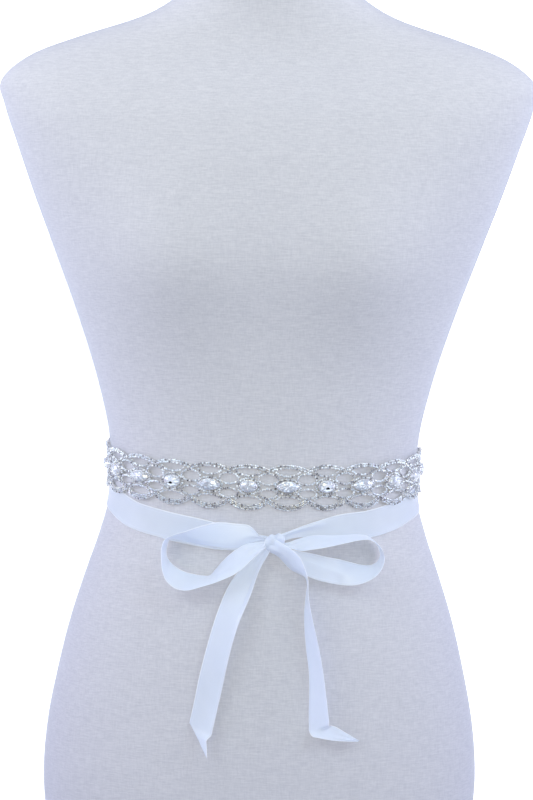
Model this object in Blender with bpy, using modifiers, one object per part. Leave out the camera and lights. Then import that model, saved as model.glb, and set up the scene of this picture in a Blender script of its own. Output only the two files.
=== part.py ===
"""Rhinestone belt on a dress form.

An openwork rhinestone applique goes round the waist of a limbless dress form. A satin ribbon is sewn
behind each of its ends; the two cross at the back, come forward under it and are tied in a bow.

Metres, +Z up. The form stands on z = 0 and its front faces -Y. A place on the form has a turn, in
degrees from the front and growing towards +X, and a height.
"""

import math

import bmesh
import bpy
import numpy as np
from mathutils import Matrix, Vector

# Dress form, one row a level. squareness is the power of the plan outline, where 2 is an ellipse.
FORM_COLUMNS = ("height", "half_width", "front", "back", "squareness")
FORM_ROWS = (
    (0.000, 0.1690, 0.0955, 0.110, 2.25),
    (0.060, 0.1737, 0.1010, 0.120, 2.25),
    (0.100, 0.1705, 0.1030, 0.122, 2.20),
    (0.140, 0.1630, 0.1020, 0.116, 2.20),
    (0.180, 0.1535, 0.1000, 0.106, 2.15),
    (0.220, 0.1410, 0.0970, 0.096, 2.10),
    (0.250, 0.1308, 0.0945, 0.089, 2.10),
    (0.275, 0.1240, 0.0930, 0.084, 2.10),
    (0.300, 0.1217, 0.0920, 0.082, 2.10),
    (0.330, 0.1240, 0.0925, 0.083, 2.10),
    (0.370, 0.1330, 0.0945, 0.086, 2.10),
    (0.420, 0.1487, 0.0980, 0.092, 2.15),
    (0.470, 0.1670, 0.1030, 0.099, 2.20),
    (0.520, 0.1860, 0.1000, 0.104, 2.20),
    (0.560, 0.2000, 0.0930, 0.102, 2.20),
    (0.590, 0.2100, 0.0810, 0.092, 2.20),
    (0.607, 0.2135, 0.0700, 0.083, 2.10),
    (0.620, 0.2030, 0.0610, 0.074, 2.00),
    (0.632, 0.1840, 0.0540, 0.066, 1.90),
    (0.645, 0.1490, 0.0490, 0.060, 1.80),
    (0.661, 0.1010, 0.0460, 0.056, 1.80),
    (0.677, 0.0740, 0.0450, 0.053, 1.90),
    (0.695, 0.0570, 0.0460, 0.050, 2.00),
    (0.715, 0.0540, 0.0470, 0.049, 2.00),
    (0.733, 0.0540, 0.0475, 0.049, 2.00),
)
FORM_POINTS_ROUND = 56
FORM_LEVELS = (  # from, to, rings; close together where the waist is hollow
    (0.0, 0.22, 8),
    (0.232, 0.345, 13),
    (0.365, 0.58, 9),
    (0.59, 0.69, 12),
    (0.705, 0.733, 3),
)
BUST_APART = 0.080
BUST_HEIGHT = 0.469
BUST_SPREAD = 0.045
BUST_RISE = 0.017

SKIN_GAP = 0.0005  # between the form and the cloth on it

# Applique: motifs in a row, each with one centre stone. Its places are along and up, from a stone.
MOTIF = 0.03025
MOTIFS = 14
BELT_SHIFT = 0.0037  # its middle lies this far towards +X
BELT_FRONT_HEIGHT = 0.2965
BELT_BACK_RISE = 0.0085
BELT_TILT = 0.0015  # the -X side is this much higher
BELT_WALL = 0.0016
OVER_RIBBON = 0.0014  # how far it stands off where the ribbon passes under it
LIFT_FROM = 0.055
LIFT_TO = 0.088
CROWN_TOP = 0.0174
NOTCH_TOP = 0.0138
CROWN_FOOT = -0.0190
NOTCH_FOOT = -0.0130
SCALLOP_POWER = 0.75
SCALLOP_POINTS = 8
HOLE_COLUMNS = ("along", "up", "half_wide", "rise", "fall")
HOLE_ROWS = (
    (0.0, 0.0124, 0.0075, 0.0021, 0.0026),
    (0.0, -0.0110, 0.0085, 0.0024, 0.0026),
    (MOTIF / 2, 0.0058, 0.0064, 0.0033, 0.0032),
    (MOTIF / 2, -0.0054, 0.0062, 0.0023, 0.0026),
)
HOLE_POINTS = 10
SLICES_PER_MOTIF = 4

# Centre stones: two cuts in turn, half length and half height of the girdle.
STONES = {"oval": (0.0066, 0.0047), "navette": (0.0083, 0.0044)}
STONE_GAP = 0.00045  # under the cup
STONE_FOOT = 0.94  # the cup's share of the girdle, where it rests
NAVETTE_POINT = 1.35  # over 1 draws the long ends to points
STONE_CUP = 0.0013
STONE_RISE = 0.0030
STONE_TABLE = 0.55  # the flat top's share of the girdle
STONE_POINTS = 12

# Ribbon, 21 mm wide.
RIBBON_HALF = 0.0105
RIBBON_WALL = 0.0010
ON_SKIN = SKIN_GAP + RIBBON_WALL / 2

# Each ribbon from the knot, round the side and the back, to the far end of the applique. The turn
# is counted from the front on the ribbon's own side; lift is from the form's skin to mid wall.
WRAP_COLUMNS = ("turn", "height", "lift", "half_wide")
WRAP_LEFT_ROWS = (
    (0.6, 0.2547, 0.00125, 0.0046),
    (5.3, 0.2546, 0.00100, 0.0070),
    (12.0, 0.2563, ON_SKIN, 0.0096),
    (21.0, 0.2595, ON_SKIN, RIBBON_HALF),
    (37.0, 0.2646, ON_SKIN, RIBBON_HALF),
    (54.0, 0.2702, ON_SKIN, RIBBON_HALF),
    (67.0, 0.2768, ON_SKIN, RIBBON_HALF),
    (80.0, 0.2816, ON_SKIN, RIBBON_HALF),
)
WRAP_RIGHT_ROWS = (
    (7.8, 0.2583, 0.00300, 0.0034),
    (13.5, 0.2615, 0.00150, 0.0050),
    (22.7, 0.2638, ON_SKIN, 0.0087),
    (28.0, 0.2648, ON_SKIN, 0.0101),
    (39.5, 0.2665, ON_SKIN, RIBBON_HALF),
    (50.0, 0.2699, ON_SKIN, RIBBON_HALF),
    (65.0, 0.2762, ON_SKIN, RIBBON_HALF),
    (80.0, 0.2806, ON_SKIN, RIBBON_HALF),
)
WRAP_BACK_ROWS = (
    (100.0, 0.2842, ON_SKIN, RIBBON_HALF),
    (122.0, 0.2856, ON_SKIN, RIBBON_HALF),
    (134.0, 0.2866, ON_SKIN, RIBBON_HALF),
    (154.0, 0.2905, ON_SKIN, RIBBON_HALF),
    (180.0, 0.2978, ON_SKIN, RIBBON_HALF),
    (206.0, 0.3051, ON_SKIN, RIBBON_HALF),
    (226.0, 0.3090, ON_SKIN, RIBBON_HALF),
)
WRAP_END_HEIGHT = 0.3097
WRAP_END_LEFT = 246.9  # turn where it ends behind the +X end of the applique
WRAP_END_RIGHT = 251.0
CROSSING_LIFT = 0.0014  # the right ribbon passes over the left one at the back
CROSSING_FLAT = 46.5  # degrees each side of the back
CROSSING_EDGE = 55.0
WRAP_STEPS = 54
WRAP_COLUMNS_ACROSS = 4
PLEATS = 2
PLEAT_DEPTH = 0.0007

# The bow. Each row is the middle of the ribbon: across and height as seen from the front, lift from
# the form's skin towards the viewer, and edge_x and edge_z, the way to its far edge in that view.
# What is left of the half width goes into depth, the far edge towards the form.
BOW_COLUMNS = ("across", "height", "lift", "half_wide", "edge_x", "edge_z")
LOOP_LEFT_ROWS = (
    (-0.0006, 0.2574, 0.0055, 0.0030, 0.0003, -0.0018),
    (-0.0106, 0.2587, 0.0062, 0.0080, -0.0010, -0.0076),
    (-0.0223, 0.2581, 0.0076, 0.0102, -0.0005, -0.0099),
    (-0.0345, 0.2591, 0.0090, RIBBON_HALF, 0.0000, -0.0098),
    (-0.0473, 0.2583, 0.0108, RIBBON_HALF, 0.0000, -0.0079),
    (-0.0601, 0.2570, 0.0122, RIBBON_HALF, 0.0000, -0.0047),
    (-0.0683, 0.2562, 0.0129, RIBBON_HALF, 0.0008, -0.0028),
    (-0.0735, 0.2545, 0.0132, RIBBON_HALF, 0.0018, -0.0010),
    (-0.0756, 0.2495, 0.0133, RIBBON_HALF, 0.0019, -0.0002),
    (-0.0759, 0.2408, 0.0133, RIBBON_HALF, 0.0017, 0.0004),
    (-0.0743, 0.2346, 0.0130, RIBBON_HALF, 0.0026, 0.0021),
    (-0.0699, 0.2283, 0.0126, RIBBON_HALF, 0.0036, 0.0043),
    (-0.0640, 0.2243, 0.0122, RIBBON_HALF, 0.0031, 0.0056),
    (-0.0557, 0.2228, 0.0121, RIBBON_HALF, 0.0021, 0.0054),
    (-0.0472, 0.2237, 0.0124, RIBBON_HALF, 0.0009, 0.0035),
    (-0.0396, 0.2254, 0.0127, RIBBON_HALF, -0.0006, 0.0022),
    (-0.0338, 0.2290, 0.0128, RIBBON_HALF, -0.0026, 0.0028),
    (-0.0280, 0.2332, 0.0128, 0.0101, -0.0046, 0.0036),
    (-0.0212, 0.2388, 0.0126, 0.0094, -0.0053, 0.0045),
    (-0.0141, 0.2450, 0.0123, 0.0080, -0.0053, 0.0042),
    (-0.0083, 0.2489, 0.0110, 0.0064, -0.0041, 0.0040),
    (-0.0006, 0.2517, 0.0092, 0.0042, -0.0005, 0.0030),
)
LOOP_RIGHT_ROWS = (
    (0.0196, 0.2524, 0.0070, 0.0032, -0.0002, 0.0022),
    (0.0277, 0.2524, 0.0081, 0.0058, -0.0010, 0.0040),
    (0.0380, 0.2542, 0.0106, 0.0088, 0.0000, 0.0043),
    (0.0516, 0.2557, 0.0124, RIBBON_HALF, 0.0000, 0.0031),
    (0.0646, 0.2573, 0.0130, RIBBON_HALF, 0.0000, 0.0020),
    (0.0744, 0.2581, 0.0133, RIBBON_HALF, 0.0000, 0.0011),
    (0.0814, 0.2574, 0.0134, RIBBON_HALF, -0.0002, 0.0003),
    (0.0871, 0.2540, 0.0134, RIBBON_HALF, -0.0006, -0.0004),
    (0.0915, 0.2482, 0.0134, RIBBON_HALF, -0.0012, -0.0001),
    (0.0929, 0.2425, 0.0134, RIBBON_HALF, -0.0014, 0.0002),
    (0.0912, 0.2370, 0.0132, RIBBON_HALF, -0.0018, 0.0008),
    (0.0870, 0.2330, 0.0129, RIBBON_HALF, -0.0024, 0.0024),
    (0.0794, 0.2307, 0.0120, RIBBON_HALF, -0.0026, 0.0052),
    (0.0709, 0.2303, 0.0106, RIBBON_HALF, -0.0026, 0.0080),
    (0.0611, 0.2314, 0.0092, RIBBON_HALF, -0.0024, 0.0098),
    (0.0500, 0.2334, 0.0082, RIBBON_HALF, -0.0018, 0.0099),
    (0.0386, 0.2363, 0.0073, 0.0098, -0.0003, 0.0094),
    (0.0279, 0.2408, 0.0063, 0.0072, 0.0000, 0.0068),
    (0.0196, 0.2466, 0.0055, 0.0034, 0.0003, 0.0028),
)
TAIL_LEFT_ROWS = (
    (0.0022, 0.2482, 0.0045, 0.0036, -0.0027, 0.0014),
    (-0.0062, 0.2375, 0.0040, 0.0062, -0.0046, 0.0030),
    (-0.0163, 0.2186, 0.0037, 0.0095, -0.0080, 0.0040),
    (-0.0257, 0.1957, 0.0056, RIBBON_HALF, -0.0084, 0.0033),
    (-0.0323, 0.1725, 0.0057, RIBBON_HALF, -0.0088, 0.0026),
    (-0.0387, 0.1438, 0.0052, RIBBON_HALF, -0.0092, 0.0030),
    (-0.0417, 0.1289, 0.0052, RIBBON_HALF, -0.0089, 0.0036),
    (-0.0438, 0.1188, 0.0053, RIBBON_HALF, -0.0088, 0.0036),
    (-0.0456, 0.1101, 0.0056, RIBBON_HALF, -0.0088, 0.0034),
    (-0.0468, 0.1005, 0.0069, RIBBON_HALF, -0.0082, 0.0030),
    (-0.0478, 0.0914, 0.0088, RIBBON_HALF, -0.0075, 0.0030),
)
TAIL_LEFT_CUT = 0.019  # how much longer the near edge is than the far one
TAIL_RIGHT_ROWS = (
    (0.0102, 0.2503, 0.0128, 0.0070, -0.0062, -0.0028),
    (0.0172, 0.2462, 0.0136, 0.0076, -0.0062, -0.0022),
    (0.0226, 0.2410, 0.0142, 0.0086, -0.0064, -0.0026),
    (0.0271, 0.2355, 0.0140, 0.0088, -0.0050, -0.0026),
    (0.0316, 0.2308, 0.0136, 0.0094, -0.0026, -0.0016),
    (0.0344, 0.2268, 0.0129, 0.0100, -0.0010, -0.0003),
    (0.0350, 0.2215, 0.0123, RIBBON_HALF, -0.0004, 0.0000),
    (0.0350, 0.2140, 0.0117, RIBBON_HALF, -0.0009, 0.0000),
    (0.0358, 0.1997, 0.0114, RIBBON_HALF, -0.0028, 0.0000),
    (0.0397, 0.1734, 0.0105, RIBBON_HALF, -0.0051, 0.0000),
    (0.0427, 0.1542, 0.0102, RIBBON_HALF, -0.0056, 0.0000),
    (0.0443, 0.1348, 0.0097, RIBBON_HALF, -0.0067, 0.0001),
    (0.0449, 0.1239, 0.0092, RIBBON_HALF, -0.0074, -0.0007),
    (0.0454, 0.1142, 0.0090, RIBBON_HALF, -0.0077, -0.0034),
    (0.0520, 0.1100, 0.0086, 0.0094, -0.0068, -0.0032),
    (0.0603, 0.1066, 0.0082, 0.0070, -0.0053, -0.0022),
    (0.0690, 0.1037, 0.0078, 0.0042, -0.0031, -0.0013),
    (0.0764, 0.1013, 0.0074, 0.0008, -0.0004, -0.0003),
)
TAIL_RIGHT_CUT = 0.0
LOOP_STEPS = 36
TAIL_STEPS = 32
BOW_COLUMNS_ACROSS = 3

# The knot, a tight turn of ribbon.
KNOT_PLACE = (0.0095, 0.2540, 0.0064)  # across, height, lift
KNOT_HALF = (0.0091, 0.0053, 0.0064)  # half sizes along X, Y and Z
KNOT_FULLNESS = 0.72  # under 1 swells the ball towards a box
KNOT_FOLDS = 3
KNOT_FOLD_DEPTH = 0.05

MATERIALS = {
    "form_cloth": ((0.76, 0.77, 0.80), 0.85, 0.0),
    "satin": ((0.83, 0.87, 0.95), 0.35, 0.0),
    "silver_setting": ((0.70, 0.71, 0.74), 0.30, 0.9),
    "crystal": ((0.88, 0.92, 0.96), 0.05, 0.1),
}


def clear_scene():
    for thing in list(bpy.data.objects):
        bpy.data.objects.remove(thing, do_unlink=True)


def make_material(name):
    colour, roughness, metallic = MATERIALS[name]
    material = bpy.data.materials.new(name)
    material.use_nodes = True
    shader = material.node_tree.nodes["Principled BSDF"]
    shader.inputs["Base Color"].default_value = (*colour, 1.0)
    shader.inputs["Roughness"].default_value = roughness
    shader.inputs["Metallic"].default_value = metallic
    return material


def smooth(knots, values, at):
    """A curve through the points (knots, values), with each slope taken from the neighbours."""
    knots = np.asarray(knots, float)
    values = np.asarray(values, float)
    slopes = np.gradient(values, knots)
    i = np.clip(np.searchsorted(knots, at) - 1, 0, len(knots) - 2)
    gap = knots[i + 1] - knots[i]
    t = (at - knots[i]) / gap
    return (
        (1 + 2 * t) * (1 - t) ** 2 * values[i]
        + t * (1 - t) ** 2 * gap * slopes[i]
        + t**2 * (3 - 2 * t) * values[i + 1]
        + t**2 * (t - 1) * gap * slopes[i + 1]
    )


def step(low, high, at):
    """0 up to low and 1 from high, with a soft S between them."""
    t = np.clip((at - low) / (high - low), 0.0, 1.0)
    return t * t * (3 - 2 * t)


def form_levels(height):
    """Half width, front, back and squareness of the form at these heights."""
    table = np.array(FORM_ROWS)
    return [smooth(table[:, 0], column, height) for column in table[:, 1:].T]


def bust(across, height, facing):
    """How far the bust stands out at a place on the front, fading to nothing at the sides."""
    spread = 2 * BUST_SPREAD**2
    mounds = sum(
        np.exp(-((across - side * BUST_APART) ** 2 + (height - BUST_HEIGHT) ** 2) / spread)
        for side in (-1, 1)
    )
    return BUST_RISE * np.clip(facing, 0, 1) * mounds


def form_point(turn, height):
    """Points of the form's skin, from turns in radians and heights."""
    half_width, front, back, squareness = form_levels(height)
    power = 2 / squareness
    across = half_width * np.sign(np.sin(turn)) * np.abs(np.sin(turn)) ** power
    facing = np.cos(turn)
    depth = np.where(facing > 0, front, back) * np.sign(facing) * np.abs(facing) ** power
    depth = depth + bust(across, height, facing)
    return np.stack(np.broadcast_arrays(across, -depth, height), axis=-1)


def form_frame(turn, height):
    """Skin points, the way round towards +turn and the way out, each of length 1."""
    nudge = 1e-4
    here = form_point(turn, height)
    round_way = form_point(turn + nudge, height) - form_point(turn - nudge, height)
    up_way = form_point(turn, height + nudge) - form_point(turn, height - nudge)
    out = np.cross(round_way, up_way)
    round_way /= np.linalg.norm(round_way, axis=-1, keepdims=True)
    out /= np.linalg.norm(out, axis=-1, keepdims=True)
    return here, round_way, out


def skin_depth(across, height):
    """Y of the form's front at a place seen from the front."""
    half_width, front, _, squareness = form_levels(height)
    side = np.clip(np.abs(across / half_width), 0, 1) ** (squareness / 2)
    facing = np.sqrt(1 - side**2)
    return -(front * facing ** (2 / squareness) + bust(across, height, facing))


def new_object(name, mesh, material, home, parent):
    mesh.materials.append(material)
    thing = bpy.data.objects.new(name, mesh)
    home.objects.link(thing)
    thing.parent = parent
    return thing


def shade(mesh, angle=40):
    mesh.shade_smooth()
    mesh.set_sharp_from_angle(angle=math.radians(angle))


def loft(name, rings):
    """A closed mesh through rings of points, all of one count, with its two ends filled."""
    rings = np.asarray(rings)
    levels, count, _ = rings.shape
    index = np.arange(levels * count).reshape(levels, count)
    after = np.roll(index, -1, axis=1)
    quads = np.stack([index[:-1], after[:-1], after[1:], index[1:]], axis=-1).reshape(-1, 4)
    mesh = bpy.data.meshes.new(name)
    faces = [*quads.tolist(), index[0, ::-1].tolist(), index[-1].tolist()]
    mesh.from_pydata(rings.reshape(-1, 3).tolist(), [], faces)
    shade(mesh)
    return mesh


def cloth(name, grid, thickness, material, home, parent):
    """A wall of cloth: a grid primitive laid on the points of its middle, then thickened."""
    along, across, _ = grid.shape
    sheet = bmesh.new()
    bmesh.ops.create_grid(sheet, x_segments=along - 1, y_segments=across - 1, size=1.0)
    for vert in sheet.verts:
        i = round((vert.co.x + 1) / 2 * (along - 1))
        j = round((vert.co.y + 1) / 2 * (across - 1))
        vert.co = grid[i, j]
    mesh = bpy.data.meshes.new(name)
    sheet.to_mesh(mesh)
    sheet.free()
    shade(mesh, 60)
    thing = new_object(name, mesh, material, home, parent)
    wall = thing.modifiers.new("wall", "SOLIDIFY")
    wall.thickness = thickness
    wall.offset = 0.0
    return thing


def build_form(material, home, parent):
    heights = np.concatenate([np.linspace(*level) for level in FORM_LEVELS])
    turn = np.linspace(0, 2 * math.pi, FORM_POINTS_ROUND, endpoint=False)
    rings = form_point(turn[None, :], heights[:, None])
    return new_object("form_torso", loft("form_torso", rings), material, home, parent)


def belt_turn(along):
    """Turn on the form, in radians, of places measured along the applique from its middle."""
    turn = np.linspace(-math.pi, math.pi, 1441)
    path = form_point(turn, belt_height(turn))
    walked = np.concatenate([[0], np.cumsum(np.linalg.norm(np.diff(path, axis=0), axis=1))])
    front = np.interp(0.0, turn, walked)
    return np.interp(along + BELT_SHIFT + front, walked, turn)


def belt_height(turn):
    """Height of the applique's middle line: lowest in front, and a little higher on one side."""
    return BELT_FRONT_HEIGHT + BELT_BACK_RISE * (1 - np.cos(turn)) - BELT_TILT * np.sin(turn)


def belt_place(along, up, out):
    """Carries flat places on the applique round the form."""
    turn = belt_turn(along)
    skin, _, normal = form_frame(turn, belt_height(turn) + up)
    ends = step(LIFT_FROM, LIFT_TO, np.abs(along + BELT_SHIFT))
    lift = SKIN_GAP + OVER_RIBBON * ends + out
    return skin + normal * np.asarray(lift)[..., None]


def scallop(along, crown, notch):
    """Edge of the applique: an arch over each motif, down to a notch between two."""
    arch = np.abs(np.cos(math.pi * along / MOTIF)) ** SCALLOP_POWER
    return notch + (crown - notch) * arch


def flat_outline():
    """The applique's outline, with its first motif centred on 0."""
    start, stop = -MOTIF / 2, (MOTIFS - 0.5) * MOTIF
    along = np.linspace(start, stop, MOTIFS * SCALLOP_POINTS + 1)
    top = np.stack([along, scallop(along, CROWN_TOP, NOTCH_TOP)], axis=1)
    foot = np.stack([along, scallop(along, CROWN_FOOT, NOTCH_FOOT)], axis=1)
    return np.concatenate([foot, top[::-1]])


def flat_hole(row, motif):
    along, up, half_wide, rise, fall = row
    angle = np.linspace(0, 2 * math.pi, HOLE_POINTS, endpoint=False)
    reach = np.where(np.sin(angle) > 0, rise, fall)
    return np.stack(
        [motif * MOTIF + along + half_wide * np.cos(angle), up + reach * np.sin(angle)], axis=1
    )


def flat_applique(home):
    """The applique laid flat: its outline and holes as one filled curve with a thickness."""
    outlines = [flat_outline()]
    for motif in range(MOTIFS):
        between = motif < MOTIFS - 1
        rows = [row for row in HOLE_ROWS if row[0] == 0 or between]
        outlines += [flat_hole(row, motif) for row in rows]
    curve = bpy.data.curves.new("applique_flat", "CURVE")
    curve.dimensions = "2D"
    curve.fill_mode = "BOTH"
    curve.extrude = BELT_WALL / 2
    for outline in outlines:
        spline = curve.splines.new("POLY")
        spline.points.add(len(outline) - 1)
        places = np.zeros((len(outline), 4))
        places[:, :2] = outline
        places[:, 3] = 1.0
        spline.points.foreach_set("co", places.ravel())
        spline.use_cyclic_u = True
    guide = bpy.data.objects.new("applique_flat", curve)
    home.objects.link(guide)
    graph = bpy.context.evaluated_depsgraph_get()
    mesh = bpy.data.meshes.new_from_object(guide.evaluated_get(graph))
    bpy.data.objects.remove(guide, do_unlink=True)
    return mesh


def join_slices(flat):
    """Makes one face of the small triangles in each slice of each flat side."""
    slices = {}
    for face in flat.faces:
        if abs(face.normal.z) > 0.5:
            along, up, _ = face.calc_center_median()
            number = int((along / MOTIF + 0.5) * SLICES_PER_MOTIF)
            slices.setdefault((number, up > 0, face.normal.z > 0), []).append(face)
    for faces in slices.values():
        bmesh.ops.dissolve_faces(flat, faces=faces)
    loose = [vert for vert in flat.verts if len(vert.link_edges) == 2]
    bmesh.ops.dissolve_verts(flat, verts=loose)


def build_applique(material, home, parent):
    """Cuts the flat applique into short lengths, so that it can bend, and lays it on the form."""
    mesh = flat_applique(home)
    flat = bmesh.new()
    flat.from_mesh(mesh)
    bmesh.ops.remove_doubles(flat, verts=flat.verts, dist=1e-6)
    crossways = [
        ((cut / SLICES_PER_MOTIF - 0.5) * MOTIF, (1, 0, 0))
        for cut in range(1, MOTIFS * SLICES_PER_MOTIF)
    ]
    for along, way in [*crossways, (0.0, (0, 1, 0))]:
        geometry = [*flat.verts, *flat.edges, *flat.faces]
        bmesh.ops.bisect_plane(
            flat, geom=geometry, dist=1e-7, plane_co=(along, 0, 0), plane_no=way
        )
    join_slices(flat)
    bmesh.ops.triangulate(flat, faces=flat.faces)
    bmesh.ops.recalc_face_normals(flat, faces=flat.faces)
    flat.to_mesh(mesh)
    flat.free()
    places = np.empty(len(mesh.vertices) * 3)
    mesh.vertices.foreach_get("co", places)
    along, up, out = places.reshape(-1, 3).T
    middle = (MOTIFS - 1) / 2 * MOTIF
    bent = belt_place(along - middle, up, out + BELT_WALL / 2)
    mesh.vertices.foreach_set("co", bent.ravel())
    mesh.update()
    return new_object("applique", mesh, material, home, parent)


def stone_mesh(cut):
    """A faceted stone in its cup: base, girdle and flat top, the base lying in z = 0."""
    half_long, half_high = STONES[cut]
    angle = np.linspace(0, 2 * math.pi, STONE_POINTS, endpoint=False)
    point = NAVETTE_POINT if cut == "navette" else 1.0
    girdle = np.stack(
        [
            half_long * np.cos(angle),
            half_high * np.sign(np.sin(angle)) * np.abs(np.sin(angle)) ** point,
        ],
        axis=1,
    )
    levels = ((STONE_FOOT, 0.0), (1.0, STONE_CUP), (STONE_TABLE, STONE_RISE))
    rings = [np.column_stack([girdle * share, np.full(len(girdle), z)]) for share, z in levels]
    mesh = loft(f"stone_{cut}", rings)
    mesh.shade_flat()
    return mesh


def build_stones(material, home, parent):
    meshes = {cut: stone_mesh(cut) for cut in STONES}
    for mesh in meshes.values():
        mesh.materials.append(material)
    cuts = list(STONES)
    for motif in range(MOTIFS):
        along = (motif - (MOTIFS - 1) / 2) * MOTIF
        nudge = 1e-4
        here = belt_place(np.array(along), 0.0, BELT_WALL + STONE_GAP)
        side = belt_place(np.array(along + nudge), 0.0, BELT_WALL + STONE_GAP) - here
        above = belt_place(np.array(along), nudge, BELT_WALL + STONE_GAP) - here
        x_axis = Vector(side).normalized()
        z_axis = x_axis.cross(Vector(above)).normalized()
        y_axis = z_axis.cross(x_axis)
        cut = cuts[motif % 2]
        stone = bpy.data.objects.new(f"stone_{cut}_{motif + 1:02d}", meshes[cut])
        home.objects.link(stone)
        stone.parent = parent
        turned = Matrix((x_axis, y_axis, z_axis)).transposed().to_4x4()
        stone.matrix_world = Matrix.Translation(here) @ turned


def pleats(across, half_wide):
    """Folds where the ribbon is narrower than its cut: a wave across it, deeper when tighter."""
    tight = 1 - half_wide / RIBBON_HALF
    return PLEAT_DEPTH * tight * np.cos(PLEATS * math.pi * across)


def build_wrap(name, side, front_rows, end_turn, over, material, home, parent):
    """A ribbon on the form, from the knot round one side and the back to the applique's end."""
    end_row = (end_turn, WRAP_END_HEIGHT, ON_SKIN, RIBBON_HALF)
    table = np.array([*front_rows, *WRAP_BACK_ROWS, end_row])
    turn = np.linspace(table[0, 0], table[-1, 0], WRAP_STEPS + 1)
    height, lift, half_wide = (smooth(table[:, 0], column, turn) for column in table[:, 1:].T)
    if over:
        from_back = np.abs(turn - 180)
        lift = lift + CROSSING_LIFT * (1 - step(CROSSING_FLAT, CROSSING_EDGE, from_back))
    turn = side * np.radians(turn)
    middle = form_point(turn, height)
    forward = np.gradient(middle, axis=0)
    forward /= np.linalg.norm(forward, axis=1, keepdims=True)
    _, round_way, out = form_frame(turn, height)
    edge_way = np.cross(out, forward)
    edge_way *= np.sign(edge_way[:, 2:])
    nudge = 1e-3
    per_turn = np.linalg.norm(form_point(turn + nudge, height) - middle, axis=1) / nudge
    share = np.linspace(-1, 1, WRAP_COLUMNS_ACROSS + 1)
    off = half_wide[:, None] * share
    turn_off = off * ((edge_way * round_way).sum(axis=1) / per_turn)[:, None]
    height_off = off * edge_way[:, 2:]
    skin, _, normal = form_frame(turn[:, None] + turn_off, height[:, None] + height_off)
    stand = lift[:, None] + np.abs(pleats(share[None, :], half_wide[:, None]))
    grid = skin + normal * stand[..., None]
    return cloth(name, grid, RIBBON_WALL, material, home, parent)


def bow_grid(rows, steps, cut=0.0):
    """Points of a free length of ribbon. Its far edge is shorter than its near one by cut."""
    table = np.array(rows)
    across, height, lift = table[:, 0], table[:, 1], table[:, 2]
    middle = np.stack([across, skin_depth(across, height) - lift, height], axis=1)
    walked = np.concatenate([[0], np.cumsum(np.linalg.norm(np.diff(middle, axis=0), axis=1))])
    share = np.linspace(-1, 1, BOW_COLUMNS_ACROSS + 1)
    length = walked[-1] - cut * (share + 1) / 2
    at = np.linspace(0, 1, steps + 1)[:, None] * length[None, :]
    x, y, z = (smooth(walked, column, at) for column in middle.T)
    half_wide, edge_x, edge_z = (smooth(walked, column, at) for column in table[:, 3:].T)
    seen = np.sqrt(edge_x**2 + edge_z**2)
    trim = np.minimum(1.0, half_wide / np.maximum(seen, 1e-9))
    edge_x, edge_z = edge_x * trim, edge_z * trim
    edge_y = np.sqrt(np.maximum(half_wide**2 - edge_x**2 - edge_z**2, 0.0))
    edge = np.stack([edge_x, edge_y, edge_z], axis=-1)
    return np.stack([x, y, z], axis=-1) + edge * share[None, :, None]


def build_knot(material, home, parent):
    """A ball swollen towards a box, with shallow folds running over it."""
    ball = bmesh.new()
    bmesh.ops.create_uvsphere(ball, u_segments=20, v_segments=12, radius=1.0)
    places = np.array([vert.co[:] for vert in ball.verts])
    places = np.sign(places) * np.abs(places) ** KNOT_FULLNESS
    places /= np.abs(places).max(axis=0)
    folds = 1 - KNOT_FOLD_DEPTH * (1 - np.cos(KNOT_FOLDS * math.pi * places[:, :1])) / 2
    places[:, 1:] *= folds
    across, height, lift = KNOT_PLACE
    centre = (across, float(skin_depth(across, height)) - lift, height)
    for vert, place in zip(ball.verts, places * KNOT_HALF + centre):
        vert.co = place
    mesh = bpy.data.meshes.new("bow_knot")
    ball.to_mesh(mesh)
    ball.free()
    shade(mesh)
    return new_object("bow_knot", mesh, material, home, parent)


def build():
    clear_scene()
    home = bpy.data.collections.new("rhinestone_belt_on_form")
    bpy.context.scene.collection.children.link(home)
    parent = bpy.data.objects.new("belt_and_form", None)
    home.objects.link(parent)
    materials = {name: make_material(name) for name in MATERIALS}
    satin = materials["satin"]

    build_form(materials["form_cloth"], home, parent)
    build_applique(materials["silver_setting"], home, parent)
    build_stones(materials["crystal"], home, parent)
    build_wrap(
        "ribbon_wrap_left", -1, WRAP_LEFT_ROWS, WRAP_END_LEFT, False, satin, home, parent
    )
    build_wrap(
        "ribbon_wrap_right", 1, WRAP_RIGHT_ROWS, WRAP_END_RIGHT, True, satin, home, parent
    )
    build_knot(satin, home, parent)
    free_lengths = (
        ("bow_loop_left", LOOP_LEFT_ROWS, LOOP_STEPS, 0.0),
        ("bow_loop_right", LOOP_RIGHT_ROWS, LOOP_STEPS, 0.0),
        ("bow_tail_left", TAIL_LEFT_ROWS, TAIL_STEPS, TAIL_LEFT_CUT),
        ("bow_tail_right", TAIL_RIGHT_ROWS, TAIL_STEPS, TAIL_RIGHT_CUT),
    )
    for name, rows, steps, cut in free_lengths:
        cloth(name, bow_grid(rows, steps, cut), RIBBON_WALL, satin, home, parent)


build()
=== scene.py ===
import math

import bpy
import numpy as np
from mathutils import Matrix, Vector


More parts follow.
